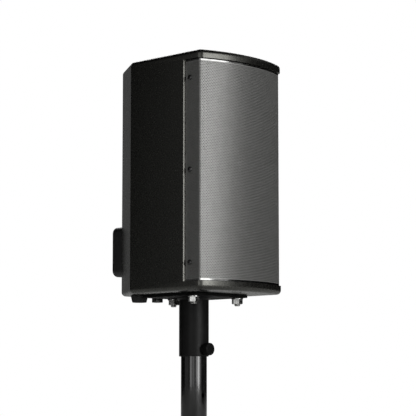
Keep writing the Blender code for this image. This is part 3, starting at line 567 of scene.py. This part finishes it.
def sheet_half_length():
    centre, arc_angle = front_corner(GRILLE_INSET, GRILLE_BEND)
    arc_length = (FRONT_RADIUS - GRILLE_INSET) * arc_angle
    return arc_length + GRILLE_BEND * (math.pi / 2 - arc_angle) + GRILLE_END_Y - GAP - centre.y


class Sheet:
    """Collects flat faces of the unrolled grille, then bends them into a skin with thickness."""

    def __init__(self):
        self.points = []
        self.faces = []
        self.walls = []
        self.index = {}

    def point(self, s, z):
        key = (round(s * 2000), round(z * 2000))
        if key not in self.index:
            self.index[key] = len(self.points)
            self.points.append((s, z))
        return self.index[key]

    def face(self, corners):
        self.faces.append([self.point(*corner) for corner in corners])

    def wall(self, corners):
        self.walls.append([self.point(*corner) for corner in corners])

    def build(self, name):
        flat = np.array(self.points)
        outer, normal = sheet_path(flat[:, 0])
        inner = outer - normal * GRILLE_SHEET
        height = flat[:, 1:2]
        vertices = np.vstack([np.hstack([outer, height]), np.hstack([inner, height])]) * MM
        count = len(flat)
        faces = list(self.faces)
        faces += [[count + i for i in reversed(face)] for face in self.faces]
        for loop in self.walls:
            for a, b in zip(loop, loop[1:] + loop[:1]):
                faces.append([a, b, count + b, count + a])
        mesh = bpy.data.meshes.new(name)
        mesh.from_pydata(vertices, [], faces)
        mesh.update()
        smooth(mesh, 50)
        obj = bpy.data.objects.new(name, mesh)
        bpy.context.scene.collection.objects.link(obj)
        return obj


def ring_points(s, z, radius, count, turn):
    angles = [2 * math.pi * k / count + turn for k in range(count)]
    return [(s + radius * math.cos(a), z + radius * math.sin(a)) for a in angles]


def near_screw(s, z):
    """True where a grille screw goes through the sheet's side return."""
    end = sheet_half_length()
    screw_s = end - (GRILLE_END_Y - GAP - GRILLE_SCREW_Y)
    return any(math.hypot(abs(s) - screw_s, z - height) < 3.4 for height in GRILLE_SCREW_HEIGHTS)


def add_cell(sheet, s, z):
    """One cell of the perforation: six faces round a round hole."""
    corners = ring_points(s, z, HOLE_PITCH / math.sqrt(3), 6, math.pi / 6)
    if near_screw(s, z):
        sheet.face(corners)
        return
    hole = ring_points(s, z, HOLE_RADIUS, 12, math.pi / 6)
    for k in range(6):
        inner = [hole[(2 * k + step) % 12] for step in (2, 1, 0)]
        sheet.face([corners[k], corners[(k + 1) % 6]] + inner)
    sheet.wall(list(reversed(hole)))


def build_grille():
    """Perforated sheet in staggered rows, in strips side by side, inside a plain rim."""
    end = sheet_half_length()
    row_step = HOLE_PITCH * math.sqrt(3) / 2
    corner = HOLE_PITCH / math.sqrt(3)
    half_columns = int((end - 1.6) / HOLE_PITCH - 0.5)
    rows = int((GRILLE_HIGH - GRILLE_LOW - 2 * HEM - 2 * corner) / row_step) // 2 * 2 + 1
    first_z = (GRILLE_LOW + GRILLE_HIGH) / 2 - (rows - 1) / 2 * row_step
    strips = 6
    sheets = [Sheet() for _ in range(strips)]
    rim = Sheet()
    for row in range(rows):
        z = first_z + row * row_step
        shift = 0.5 if row % 2 else 0.0
        for column in range(-half_columns, half_columns + (0 if row % 2 else 1)):
            s = (column + shift) * HOLE_PITCH
            which = min(strips - 1, (column + half_columns) * strips // (2 * half_columns + 1))
            add_cell(sheets[which], s, z)
    # zigzag along the sides, filled out to the sheet's ends
    edge_s = (half_columns + 0.5) * HOLE_PITCH
    for side in (-1, 1):
        line = []
        for row in range(rows):
            z = first_z + row * row_step
            s = edge_s - (HOLE_PITCH / 2 if row % 2 else 0)
            line += [(s, z - corner / 2), (s, z + corner / 2)]
        for (s0, z0), (s1, z1) in zip(line, line[1:]):
            quad = [(side * s0, z0), (side * end, z0), (side * end, z1), (side * s1, z1)]
            rim.face(quad if side > 0 else quad[::-1])
    # zigzag along the bottom and the top
    last_z = first_z + (rows - 1) * row_step
    for turn, z_row, edge in ((-1, first_z, GRILLE_LOW + HEM), (1, last_z, GRILLE_HIGH - HEM)):
        line = [(-edge_s, z_row + turn * corner / 2)]
        for column in range(-half_columns, half_columns + 1):
            s = column * HOLE_PITCH
            line += [(s, z_row + turn * corner), (s + HOLE_PITCH / 2, z_row + turn * corner / 2)]
        line = [(-end, line[0][1])] + line + [(end, line[-1][1])]
        for (s0, z0), (s1, z1) in zip(line, line[1:]):
            quad = [(s0, z0), (s1, z1), (s1, edge), (s0, edge)]
            rim.face(quad[::-1] if turn < 0 else quad)
    for index, sheet in enumerate(sheets):
        show(sheet.build(f"grille_perforation_{index + 1}"), "grille_paint", "speaker", "grille")
    show(rim.build("grille_rim"), "grille_paint", "speaker", "grille")
    build_hems(end)


def build_hems(end):
    """Plain glossy border of the sheet along its top and its bottom, folded back at its edge."""
    steps = [-end]
    while steps[-1] < end:
        run = abs(steps[-1])
        steps.append(min(end, steps[-1] + (0.6 if 70 < run < 96 else 2.4)))
    where = np.array(steps)
    outer, normal = sheet_path(where)
    reach, bend = HEM + 0.7, 0.5
    turns = [math.pi / 2 * k / 5 for k in range(6)]
    profile = [(GRILLE_SHEET, 0), (0, 0)]
    profile += [(bend * (1 - math.cos(t)), reach - bend * (1 - math.sin(t))) for t in turns]
    profile += [(2.4, reach), (2.4, reach - 0.9)]
    profile += [(GRILLE_SHEET + 0.6, reach - 0.9), (GRILLE_SHEET, reach - 1.4)]
    borders = (("grille_hem_low", GRILLE_LOW + HEM, -1), ("grille_hem_high", GRILLE_HIGH - HEM, 1))
    for name, edge, direction in borders:
        bm = bmesh.new()
        rings = []
        for point, face_normal in zip(outer, normal):
            ring = []
            for depth, rise in profile:
                flat = point - face_normal * depth
                ring.append(bm.verts.new((flat[0], flat[1], edge + direction * rise)))
            rings.append(ring)
        for first, second in zip(rings, rings[1:]):
            for k in range(len(profile)):
                bm.faces.new((first[k - 1], first[k], second[k], second[k - 1]))
        bm.faces.new(rings[0])
        bm.faces.new(rings[-1])
        show(finished(name, bm, sharp=50), "grille_hem_paint", "speaker", "grille", slot="grille_paint")


def build_foam():
    """Sheet of open-cell foam behind the grille, uneven by a tenth of a millimetre or two."""
    low, high = FLOOR_Z + 2, CEILING_Z - 2
    half = 66.0
    columns, rows = 66, 145
    front = GRILLE_INSET + GRILLE_SHEET + 0.4
    bm = bmesh.new()
    layers = []
    for depth in (0.0, 3.0):
        inset = front + depth
        arc = front_arc(half, inset, columns)
        grid = []
        for row in range(rows + 1):
            z = low + (high - low) * row / rows
            line = []
            for x, y in arc:
                lump = noise.noise(Vector((x, z, depth)) * 0.45) * 0.12
                edge = min(half - abs(x), z - low, high - z)
                crown = 0.8 * math.exp(-max(edge, 0) / 0.8)
                sink = crown if depth == 0 else -crown
                line.append(bm.verts.new((x, y + max(0.0, lump + 0.12) + sink, z)))
            grid.append(line)
        layers.append(grid)
    for grid in layers:
        for below, above in zip(grid, grid[1:]):
            for k in range(columns):
                bm.faces.new((below[k], below[k + 1], above[k + 1], above[k]))
    near, far = layers
    border = [(0, k) for k in range(columns)] + [(r, columns) for r in range(rows)]
    border += [(rows, k) for k in range(columns, 0, -1)] + [(r, 0) for r in range(rows, 0, -1)]
    for (r0, k0), (r1, k1) in zip(border, border[1:] + border[:1]):
        bm.faces.new((near[r0][k0], near[r1][k1], far[r1][k1], far[r0][k0]))
    foam = finished("foam_sheet", bm, sharp=70)
    show(foam, "acoustic_foam", "speaker", "grille_foam")


# ---------------------------------------------------------------- screws, nuts and studs

def button_screw(name, place, axis, length, socket=2.5):
    """Domed head with a hexagon socket on a ridged shank."""
    head, shank = SCREW_HEAD_RADIUS, SCREW_SHANK_RADIUS
    turns = [math.pi / 2 * k / 10 for k in range(11)]
    dome = [(head * math.sin(t), 0.9 + 1.5 * math.cos(t)) for t in turns]
    ridges = []
    along = -0.4
    while along > 0.8 - length:
        ridges += [(shank, along), (shank - 0.28, along - 0.4)]
        along -= 0.8
    rim = [(head, 0.5), (head - 0.2, GAP), (shank, GAP)]
    tip = [(shank - 0.5, 0.4 - length), (0, -length)]
    profile = dome + rim + ridges + tip
    screw = finished(name, spun(profile, 32), place, axis)
    outline = hexagon(socket)
    cutter = finished("socket", loft([(outline, 1.0), (outline, 4.0)]), place, axis)
    return cut(screw, cutter)


def build_screws():
    face = HALF_WIDTH - GRILLE_INSET
    for side, axis, x in (("left", LEFT, -face), ("right", RIGHT, face)):
        for level, z in zip(("low", "middle", "high"), GRILLE_SCREW_HEIGHTS):
            node = f"grille_screw_{side}_{level}"
            screw = button_screw(node + "_fine", (x, GRILLE_SCREW_Y, z), axis, 7)
            show(screw, "black_screw", "speaker", node)
    groups = (
        ("woofer_screw", 43.13, 43.13, BAFFLE_Y - 4.3, WOOFER_Z, FORWARD, 14),
        ("horn_screw", 54.8, 46.8, BAFFLE_Y - 4.3, HORN_Z, FORWARD, 14),
        ("terminal_screw", 31.5, 27.5, REAR_Y + HOUSING_DEPTH, HOUSING_Z, BACKWARD, HOUSING_DEPTH + 8),
    )
    for kind, reach_x, reach_z, y, middle_z, axis, length in groups:
        for side, x in (("left", -reach_x), ("right", reach_x)):
            for level, z in (("low", -reach_z), ("high", reach_z)):
                node = f"{kind}_{side}_{level}"
                screw = button_screw(node + "_fine", (x, y, middle_z + z), axis, length)
                show(screw, "black_screw", "speaker", node)


def threaded(radius, low, high, pitch=1.25, depth=0.6):
    """Profile points of a ridged rod from low to high."""
    points = [(0, low), (radius - 0.9, low), (radius - 0.1, low + 0.8)]
    along = low + 1.0
    while along + pitch < high:
        points += [(radius, along), (radius, along + 0.15)]
        points += [(radius - depth, along + 0.6), (radius - depth, along + 0.75)]
        along += pitch
    return points + [(radius - depth, high - 0.1), (radius - depth, high), (0, high)]


def build_fixings():
    """Studs with chamfered nuts and their washers."""
    nut_top = BASE_Z - 4.3
    nut_low = nut_top - 1.6 - 6.5
    for (side, (x, y)), turn in zip(STUD_PLACES.items(), (1, 2, -8)):
        place = (x, y, 0)
        thread = spun(threaded(STUD_RADIUS, BASE_Z - 15.1, BASE_Z + 9), 32)
        stud = finished(f"stud_{side}_fine", thread, place, sharp=50)
        show(stud, "zinc_steel", "speaker", f"plate_stud_{side}")
        outline = hexagon(13, turn)
        nut = finished("nut", loft([(outline, nut_low), (outline, nut_top - 1.4)]), place)
        cone = [
            (0, nut_low - 0.01), (6.3, nut_low - 0.01), (8.2, nut_low + 1.1),
            (8.2, nut_top - 2.3), (6.6, nut_top - 1.39), (0, nut_top - 1.39),
        ]
        cut(nut, finished("cone", spun(cone, 96), place), operation="INTERSECT")
        washer = rounded([(0, nut_top - 1.6), (8, nut_top - 1.6), (8, nut_top), (0, nut_top)], 0.3)
        cut(nut, finished("washer", spun(washer, 64), place), operation="UNION")
        bore = [
            (0, nut_low - 2), (5.2, nut_low - 2), (5.2, nut_low), (4.3, nut_low + 0.9),
            (4.3, nut_top + 3), (0, nut_top + 3),
        ]
        cut(nut, finished("bore", spun(bore, 48), place))
        nut.name = f"nut_{side}_fine"
        show(nut, "zinc_steel", "speaker", f"plate_nut_{side}")


# ---------------------------------------------------------------- terminals

def build_terminals():
    """Moulded housing with its sockets and gasket, on the back panel."""
    place = (0, REAR_Y, HOUSING_Z)
    half_x, half_z, corner, edge = 38.0, 34.6, 9.0, 2.5
    rings = [(rectangle(half_x, half_z, corner, 10), 2.0)]
    for step in range(9):
        turn = math.pi / 2 * step / 8
        inset = edge * (1 - math.cos(turn))
        outline = rectangle(half_x - inset, half_z - inset, corner - inset, 10)
        rings.append((outline, HOUSING_DEPTH - edge * (1 - math.sin(turn))))
    housing = finished("terminal_housing_fine", loft(rings), place, BACKWARD)
    room = rectangle(30, 19, 4)
    cutters = [finished("room", loft([(room, -5), (room, HOUSING_DEPTH - 3)]), place, BACKWARD)]
    for x in SOCKET_PLACES:
        hole = rod(12.3, HOUSING_DEPTH - 6, HOUSING_DEPTH + 5, 64)
        cutters.append(finished("socket_hole", hole, (x, REAR_Y, HOUSING_Z), BACKWARD))
    corners = [(sx * 31.5, REAR_Y, HOUSING_Z + sz * 27.5) for sx in (-1, 1) for sz in (-1, 1)]
    for corner_place in corners:
        cutters.append(finished("screw_hole", rod(2.2, -5, HOUSING_DEPTH + 5, 24), corner_place, BACKWARD))
    show(cut(housing, *cutters), "black_plastic", "speaker", "terminal_housing")

    sheet = rectangle(half_x - 1, half_z - 1, corner - 1, 10)
    gasket = finished("terminal_gasket_fine", loft([(sheet, 0.3), (sheet, 1.7)]), place, BACKWARD)
    cutters = [finished("room", loft([(room, -5), (room, 6)]), place, BACKWARD)]
    for corner_place in corners:
        cutters.append(finished("screw_hole", rod(2.2, -5, 6, 24), corner_place, BACKWARD))
    show(bevelled(cut(gasket, *cutters), 0.2, 2, 50), "gasket_rubber", "speaker", "terminal_gasket")
    for side, x in zip(("left", "right"), SOCKET_PLACES):
        show(build_socket(x), "socket_plastic", "speaker", f"speaker_socket_{side}")


def build_socket(x):
    """Round four-pole panel socket: flange, keyed ring cavity and centre post."""
    place = (x, REAR_Y, HOUSING_Z)
    face = HOUSING_DEPTH + GAP
    flange = [(rectangle(13.6, 15.5, 2.5), face)]
    for step in range(5):
        turn = math.pi / 2 * step / 4
        inset = 0.6 * (1 - math.cos(turn))
        outline = rectangle(13.6 - inset, 15.5 - inset, 2.5 - inset)
        flange.append((outline, face + 2 - 0.6 * (1 - math.sin(turn))))
    socket = finished("socket", loft(flange), place, BACKWARD)
    body = [(0, face - 26), (11.2, face - 26), (12, face - 25.2), (12, face + 1), (0, face + 1)]
    cut(socket, finished("body", spun(body), place, BACKWARD), operation="UNION")
    ring = [
        (4.0, face - 16), (10.4, face - 16), (10.4, face + 1.3), (11.1, face + 2.05), (11.1, face + 6),
        (5.5, face + 6), (5.5, face - 2), (4.0, face - 2.6),
    ]
    cutters = [finished("ring", spun(ring), place, BACKWARD)]
    post_top = [(0, face - 2), (5.6, face - 2), (5.6, face + 5), (0, face + 5)]
    cutters.append(finished("post_top", spun(post_top), place, BACKWARD))
    for turn, half in ((0, 1.7), (140, 1.1)):
        angle = math.radians(turn)
        out = Vector((math.cos(angle), math.sin(angle))) * 10.2
        outline = [(out.x + u * half, out.y + v * half) for u, v in ((-1, -1), (1, -1), (1, 1), (-1, 1))]
        cutters.append(finished("key", loft([(outline, face - 12), (outline, face + 6)]), place, BACKWARD))
    centre = rod(1.6, face - 12, face + 5, 24)
    cutters.append(finished("post_bore", centre, place, BACKWARD))
    cut(socket, *cutters)
    socket.name = "speaker_socket_fine" + ("_left" if x < 0 else "_right")
    return socket


# ---------------------------------------------------------------- feet and rigging point

def build_underside():
    """Rubber feet and the capped rigging point behind the adapter."""
    recess = [(0, 5.5), (3.6, 5.5), (3.8, 9.4)]
    cone = [(9.7, 9.4), (11.6, 1.6), (12, 1.0), (12, GAP), (0, GAP)]
    foot = rounded(recess + cone, 0.9, 5)
    for side, x in (("left", -FOOT_X), ("right", FOOT_X)):
        piece = finished(f"foot_{side}_fine", spun(foot, 72), (x, FOOT_Y, BASE_Z), DOWN)
        show(piece, "foot_rubber", "speaker", f"rear_foot_{side}")
    profile = rounded([(0, 7.5), (7.5, 7.5), (7.5, GAP), (4, GAP), (4, -9), (0, -9)], 0.7, 4)
    screw = finished("rigging_screw_fine", spun(profile, 64), (0, RIGGING_Y, BASE_Z), DOWN)
    outline = hexagon(6, 15)
    cutter = finished("socket", loft([(outline, 4), (outline, 10)]), (0, RIGGING_Y, BASE_Z), DOWN)
    show(cut(screw, cutter), "black_screw", "speaker", "rigging_screw")


# ---------------------------------------------------------------- adapter, clamp and pole

def build_adapter():
    """Square plate, and the sleeve welded under it with its threaded insert."""
    outline = rectangle(PLATE_HALF, PLATE_HALF, 3)
    slab = loft([(outline, BASE_Z - PLATE_THICKNESS), (outline, BASE_Z - GAP)])
    plate = finished("adapter_plate_fine", slab, (0, PLATE_Y, 0))
    holes = []
    for x, y in STUD_PLACES.values():
        holes.append(finished("hole", rod(4.5, BASE_Z - 9, BASE_Z + BEYOND, 32), (x, y, 0)))
    plate = bevelled(cut(plate, *holes), 0.5, 3, 50)
    show(plate, "plate_paint", "speaker", "adapter_plate", slot="adapter_paint")

    outer, bore = SLEEVE_RADIUS, SLEEVE_BORE_RADIUS
    low, high = BASE_Z - 83.0, BASE_Z - PLATE_THICKNESS - GAP
    profile = [(bore, low + 0.6), (bore + 0.6, low), (outer - 0.6, low), (outer, low + 0.6)]
    profile += [(outer, high), (bore, high)]
    sleeve = finished("sleeve", spun(profile, 128))
    clamp = (0, 0, CLAMP_Z)
    insert = rounded([(0, outer - 1.6), (6.5, outer - 1.6), (6.5, outer + 0.8), (0, outer + 0.8)], 0.3)
    cut(sleeve, finished("insert", spun(insert, 48), clamp, FORWARD), operation="UNION")
    bead = finished("bead", weld_bead(outer, high))
    cut(sleeve, bead, operation="UNION")
    hole = finished("hole", rod(4.3, bore - 5, outer + 5, 40), clamp, FORWARD)
    cut(sleeve, hole)
    sleeve.name = "socket_sleeve_fine"
    show(sleeve, "adapter_paint", "speaker", "socket_sleeve")


def weld_bead(radius, high):
    """Rippled fillet ring round the top of the sleeve."""
    bm = bmesh.new()
    rings = []
    count = 240
    for k in range(count):
        turn = 2 * math.pi * k / count
        lump = noise.noise(Vector((math.cos(turn), math.sin(turn), 0)) * 3)
        ripple = 0.16 * abs(math.sin(turn * 31)) + 0.12 * lump
        ring = []
        for out, down in ((-0.6, 0.0), (2.5, 0.0), (2.2, 0.7), (1.4, 1.6), (0.7, 2.5), (-0.6, 2.8)):
            reach = radius + out + (ripple if out > 0 else 0)
            ring.append(bm.verts.new((reach * math.cos(turn), reach * math.sin(turn), high - down)))
        rings.append(ring)
    for first, second in zip(rings, rings[1:] + rings[:1]):
        for k in range(len(first)):
            bm.faces.new((first[k - 1], first[k], second[k], second[k - 1]))
    return bm


def build_clamp():
    """Knurled knob on its screw, and the brass pad at the screw's tip."""
    count, lobes = 288, 36
    inner, face = 21.6, 31.6
    levels = [(0.0, 6.9), (0.3, 7.5), (0.9, 8.1), (1.5, 8.4)]
    levels += [(8.4, 8.4), (9.1, 8.1), (9.6, 7.4), (9.9, 6.2), (10.0, 4.8)]
    rings = []
    for rise, reach in levels:
        ring = []
        depth = 0.5 if 1.0 < rise < 9.0 else 0.12
        for k in range(count):
            turn = 2 * math.pi * k / count
            wave = abs(math.sin(turn * lobes / 2))
            r = reach - depth * (1 - wave) ** 2
            ring.append((r * math.cos(turn), r * math.sin(turn)))
        rings.append((ring, inner + rise))
    knob = finished("knob", loft(rings), (0, 0, CLAMP_Z), FORWARD, sharp=40)
    screw = finished("screw", spun(threaded(STUD_RADIUS, 19.7, inner + 0.6), 48), (0, 0, CLAMP_Z), FORWARD)
    cut(knob, screw, operation="UNION", sharp=40)
    dish = [(0, face - 0.7), (3.6, face - 0.7), (4.2, face + 1), (0, face + 1)]
    cut(knob, finished("dish", spun(dish, 64), (0, 0, CLAMP_Z), FORWARD), sharp=40)
    knob.name = "clamp_knob_fine"
    show(knob, "knob_plastic", "clamp_knob_body", "clamp_knob")

    pad = rounded([(0, 17.8), (3.9, 17.8), (3.9, 19.4), (0, 19.4)], 0.4, 4)
    piece = finished("clamp_pad_fine", spun(pad, 48), (0, 0, CLAMP_Z), FORWARD)
    show(piece, "brass", "clamp_pad_body", "clamp_pad")


def build_pole():
    """Tube with its locking-pin hole, and the plugs in its ends."""
    outer, bore, top = POLE_RADIUS, POLE_BORE_RADIUS, POLE_TOP_Z
    low = 5 + GAP
    corners = [(bore, low), (outer, low), (outer, top - GAP), (bore, top - GAP), (bore, low)]
    piece = finished("pole_tube_fine", spun(rounded(corners, 0.25, 3)[:-1], 128))
    pin_hole = rod(PIN_HOLE_RADIUS, -outer - BEYOND, outer + BEYOND, 48)
    hole = finished("pin_hole", pin_hole, (0, 0, PIN_HOLE_Z), FORWARD)
    show(cut(piece, hole), "pole_gloss", "pole", "pole_tube")
    low_plug = [(0, 0), (outer, 0), (outer, 5), (bore - GAP, 5), (bore - GAP, 25), (0, 25)]
    plug = finished("pole_end_plug_fine", spun(rounded(low_plug, 0.9, 4), 96))
    show(plug, "black_plastic", "pole", "pole_end_plug")
    high_plug = [(0, top - 20), (bore - GAP, top - 20), (bore - GAP, top)]
    high_plug += [(outer, top), (outer, top + 4), (0, top + 4)]
    plug = finished("pole_top_plug_fine", spun(rounded(high_plug, 0.9, 4), 96))
    show(plug, "black_plastic", "pole_cap", "pole_top_plug")


# ---------------------------------------------------------------- woofer's moving parts

def stretched(obj):
    """Bakes the piece's placement into its mesh and reads its points in millimetres."""
    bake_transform(obj)
    points = np.empty(len(obj.data.vertices) * 3)
    obj.data.vertices.foreach_get("co", points)
    points = points.reshape(-1, 3) / MM


def build_woofer():
    """Cone with its dust cap, rolled surround and corrugated spider."""
    place = (0, BAFFLE_Y, WOOFER_Z)
    cone = [
        (0, -12), (5, -12.5), (9, -13.8), (13, -16.3), (16, -19.5), (17.4, -22.6), (18, -24.5), (26, -17.6),
        (34, -12), (42, -5.3), (50, 1.5), (50, 0.5), (42, -6.4), (34, -13.2), (26, -18.9), (17, -26.6),
        (15.2, -31.5), (14.2, -31.5), (14.2, -27), (12.4, -20.2), (9.5, -15.4), (5.2, -13.6), (0, -13.2),
    ]
    piece = finished("woofer_cone_fine", spun(cone, 96), place, FORWARD)
    show(piece, "paper_cone", "woofer_cone_assembly", "woofer_cone")

    turns = [math.pi * k / 16 for k in range(17)]
    roll = [(56.8, 2.6), (56.8, 3.4), (55.8, 3.4)]
    roll += [(53.2 + 2.2 * math.cos(t), 3.4 + 2.2 * math.sin(t)) for t in turns]
    roll += [(50.4, 2.6), (50.4, 1.8), (51.2, 1.8)]
    roll += [(53.2 - 1.6 * math.cos(t), 2.9 + 1.7 * math.sin(t)) for t in turns]
    piece = finished("woofer_surround_fine", spun(roll, 96), place, FORWARD)
    stretched(piece)
    show(piece, "surround_rubber", None, "woofer_surround")

    steps = 64
    upper = []
    for step in range(steps + 1):
        radius = 14.4 + 22.6 * step / steps
        upper.append((radius, -34 + 0.8 * math.sin(4 * math.pi * step / steps)))
    lower = [(radius, along - 0.7) for radius, along in reversed(upper)]
    piece = finished("woofer_spider_fine", spun(upper + lower, 96), place, FORWARD)
    stretched(piece)
    show(piece, "spider_cloth", None, "woofer_spider")


# ---------------------------------------------------------------- carried CAD pieces

CARRIED = {
    "front_baffle": "baffle_paint",
    "woofer_basket": "cast_frame",
    "woofer_voice_coil": "coil_copper",
    "woofer_top_plate": "zinc_steel",
    "woofer_yoke": "zinc_steel",
    "woofer_magnet": "ferrite",
    "woofer_inductor": "coil_copper",
    "woofer_capacitor": "capacitor_film",
    "tweeter_capacitor": "capacitor_film",
    "hf_horn": "horn_plastic",
    "hf_motor_housing": "cast_frame",
    "hf_diaphragm": "titanium",
    "hf_rear_cover": "black_plastic",
    "port_tube": "black_plastic",
    "crossover_board": "circuit_board",
}


def finish_carried():
    for name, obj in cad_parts.items():
        if obj.hide_render:
            continue
        for start, material in CARRIED.items():
            if name.startswith(start):
                obj.data.materials.clear()
                obj.data.materials.append(materials[material])
                smooth(obj.data)
                break


# ---------------------------------------------------------------- camera, light, floor

# Camera: place in metres, then the direction it looks in, in radians, and its lens in millimetres
CAMERA_PLACE = (-1.613167, -1.586744, 0.062073)
CAMERA_AZIMUTH = 0.802067
CAMERA_TILT = 0.112930
CAMERA_LENS = 144.555


def make_camera():
    azimuth, tilt = CAMERA_AZIMUTH, CAMERA_TILT
    ahead = Vector((math.sin(azimuth) * math.cos(tilt), math.cos(azimuth) * math.cos(tilt), math.sin(tilt)))
    data = bpy.data.cameras.new("camera")
    data.sensor_width = 36.0
    data.lens = CAMERA_LENS
    data.clip_start = 0.05
    data.clip_end = 60
    camera = bpy.data.objects.new("camera", data)
    camera.location = CAMERA_PLACE
    camera.rotation_mode = "QUATERNION"
    camera.rotation_quaternion = ahead.to_track_quat("-Z", "Y")
    bpy.context.scene.collection.objects.link(camera)
    bpy.context.scene.camera = camera


TARGET = Vector((0, 0, 0.36))
# Name: azimuth and elevation in degrees, distance, width and height in metres, radiance
LIGHTS = {
    "front": (-3, -2, 2.2, 0.65, 0.86, 6.2),
    "front_high": (5, 17, 2.2, 1.26, 0.60, 5.3),
    "front_left": (-20, 0, 2.2, 0.65, 0.70, 2.3),
    "front_right": (13, 0, 2.2, 0.65, 0.70, 0.95),
    "front_far": (30, 17, 2.2, 0.65, 0.60, 0.4),
    "left_near": (-50, 0, 2.2, 0.80, 2.0, 0.95),
    "left_strip": (-72, -2, 2.2, 0.68, 2.0, 1.7),
    "left_back": (-112, 0, 2.2, 1.60, 2.0, 0.20),
    "backdrop": (136, -3, 2.2, 1.00, 0.7, 0.35),
    "back_high": (134, 40, 2.2, 1.60, 1.2, 3.2),
    "back": (162, 5, 2.2, 0.80, 2.0, 0.15),
    "right_high": (55, 35, 2.2, 1.00, 0.7, 0.25),
}


def make_lights():
    for name, (azimuth, elevation, distance, width, height, radiance) in LIGHTS.items():
        data = bpy.data.lights.new(name, "AREA")
        data.shape = "RECTANGLE"
        data.size = width
        data.size_y = height
        data.energy = radiance * math.pi * width * height
        light = bpy.data.objects.new(name, data)
        a, e = math.radians(azimuth), math.radians(elevation)
        out = Vector((math.sin(a) * math.cos(e), -math.cos(a) * math.cos(e), math.sin(e)))
        light.location = TARGET + out * distance
        light.rotation_mode = "QUATERNION"
        light.rotation_quaternion = out.to_track_quat("Z", "Y")
        light.visible_camera = False
        bpy.context.scene.collection.objects.link(light)


def make_world():
    world = bpy.data.worlds.new("studio")
    world.use_nodes = True
    tree = world.node_tree
    background = tree.nodes["Background"]
    background.inputs["Color"].default_value = (0.006, 0.006, 0.006, 1)
    white = tree.nodes.new("ShaderNodeBackground")
    white.inputs["Color"].default_value = (1, 1, 1, 1)
    rays = tree.nodes.new("ShaderNodeLightPath")
    mix = tree.nodes.new("ShaderNodeMixShader")
    tree.links.new(rays.outputs["Is Camera Ray"], mix.inputs["Fac"])
    tree.links.new(background.outputs[0], mix.inputs[1])
    tree.links.new(white.outputs[0], mix.inputs[2])
    tree.links.new(mix.outputs[0], tree.nodes["World Output"].inputs["Surface"])
    bpy.context.scene.world = world
    bpy.context.scene.view_settings.view_transform = "Standard"


def make_floor():
    bm = bmesh.new()
    bmesh.ops.create_circle(bm, cap_ends=True, segments=96, radius=1900)
    floor = finished("floor", bm, (0, 0, -0.2))
    nodes = Nodes("floor", (0.86, 0.86, 0.85), 0.7)
    nodes.colours(nodes.noise(6, 3), (0.84, 0.84, 0.83), (0.88, 0.88, 0.87))
    floor.data.materials.append(nodes.material)


materials = make_materials()
make_camera()
make_lights()
make_world()
make_floor()
build_cabinet()
build_grille()
build_foam()
build_screws()
build_fixings()
build_terminals()
build_underside()
build_adapter()
build_clamp()
build_pole()
build_woofer()
finish_carried()
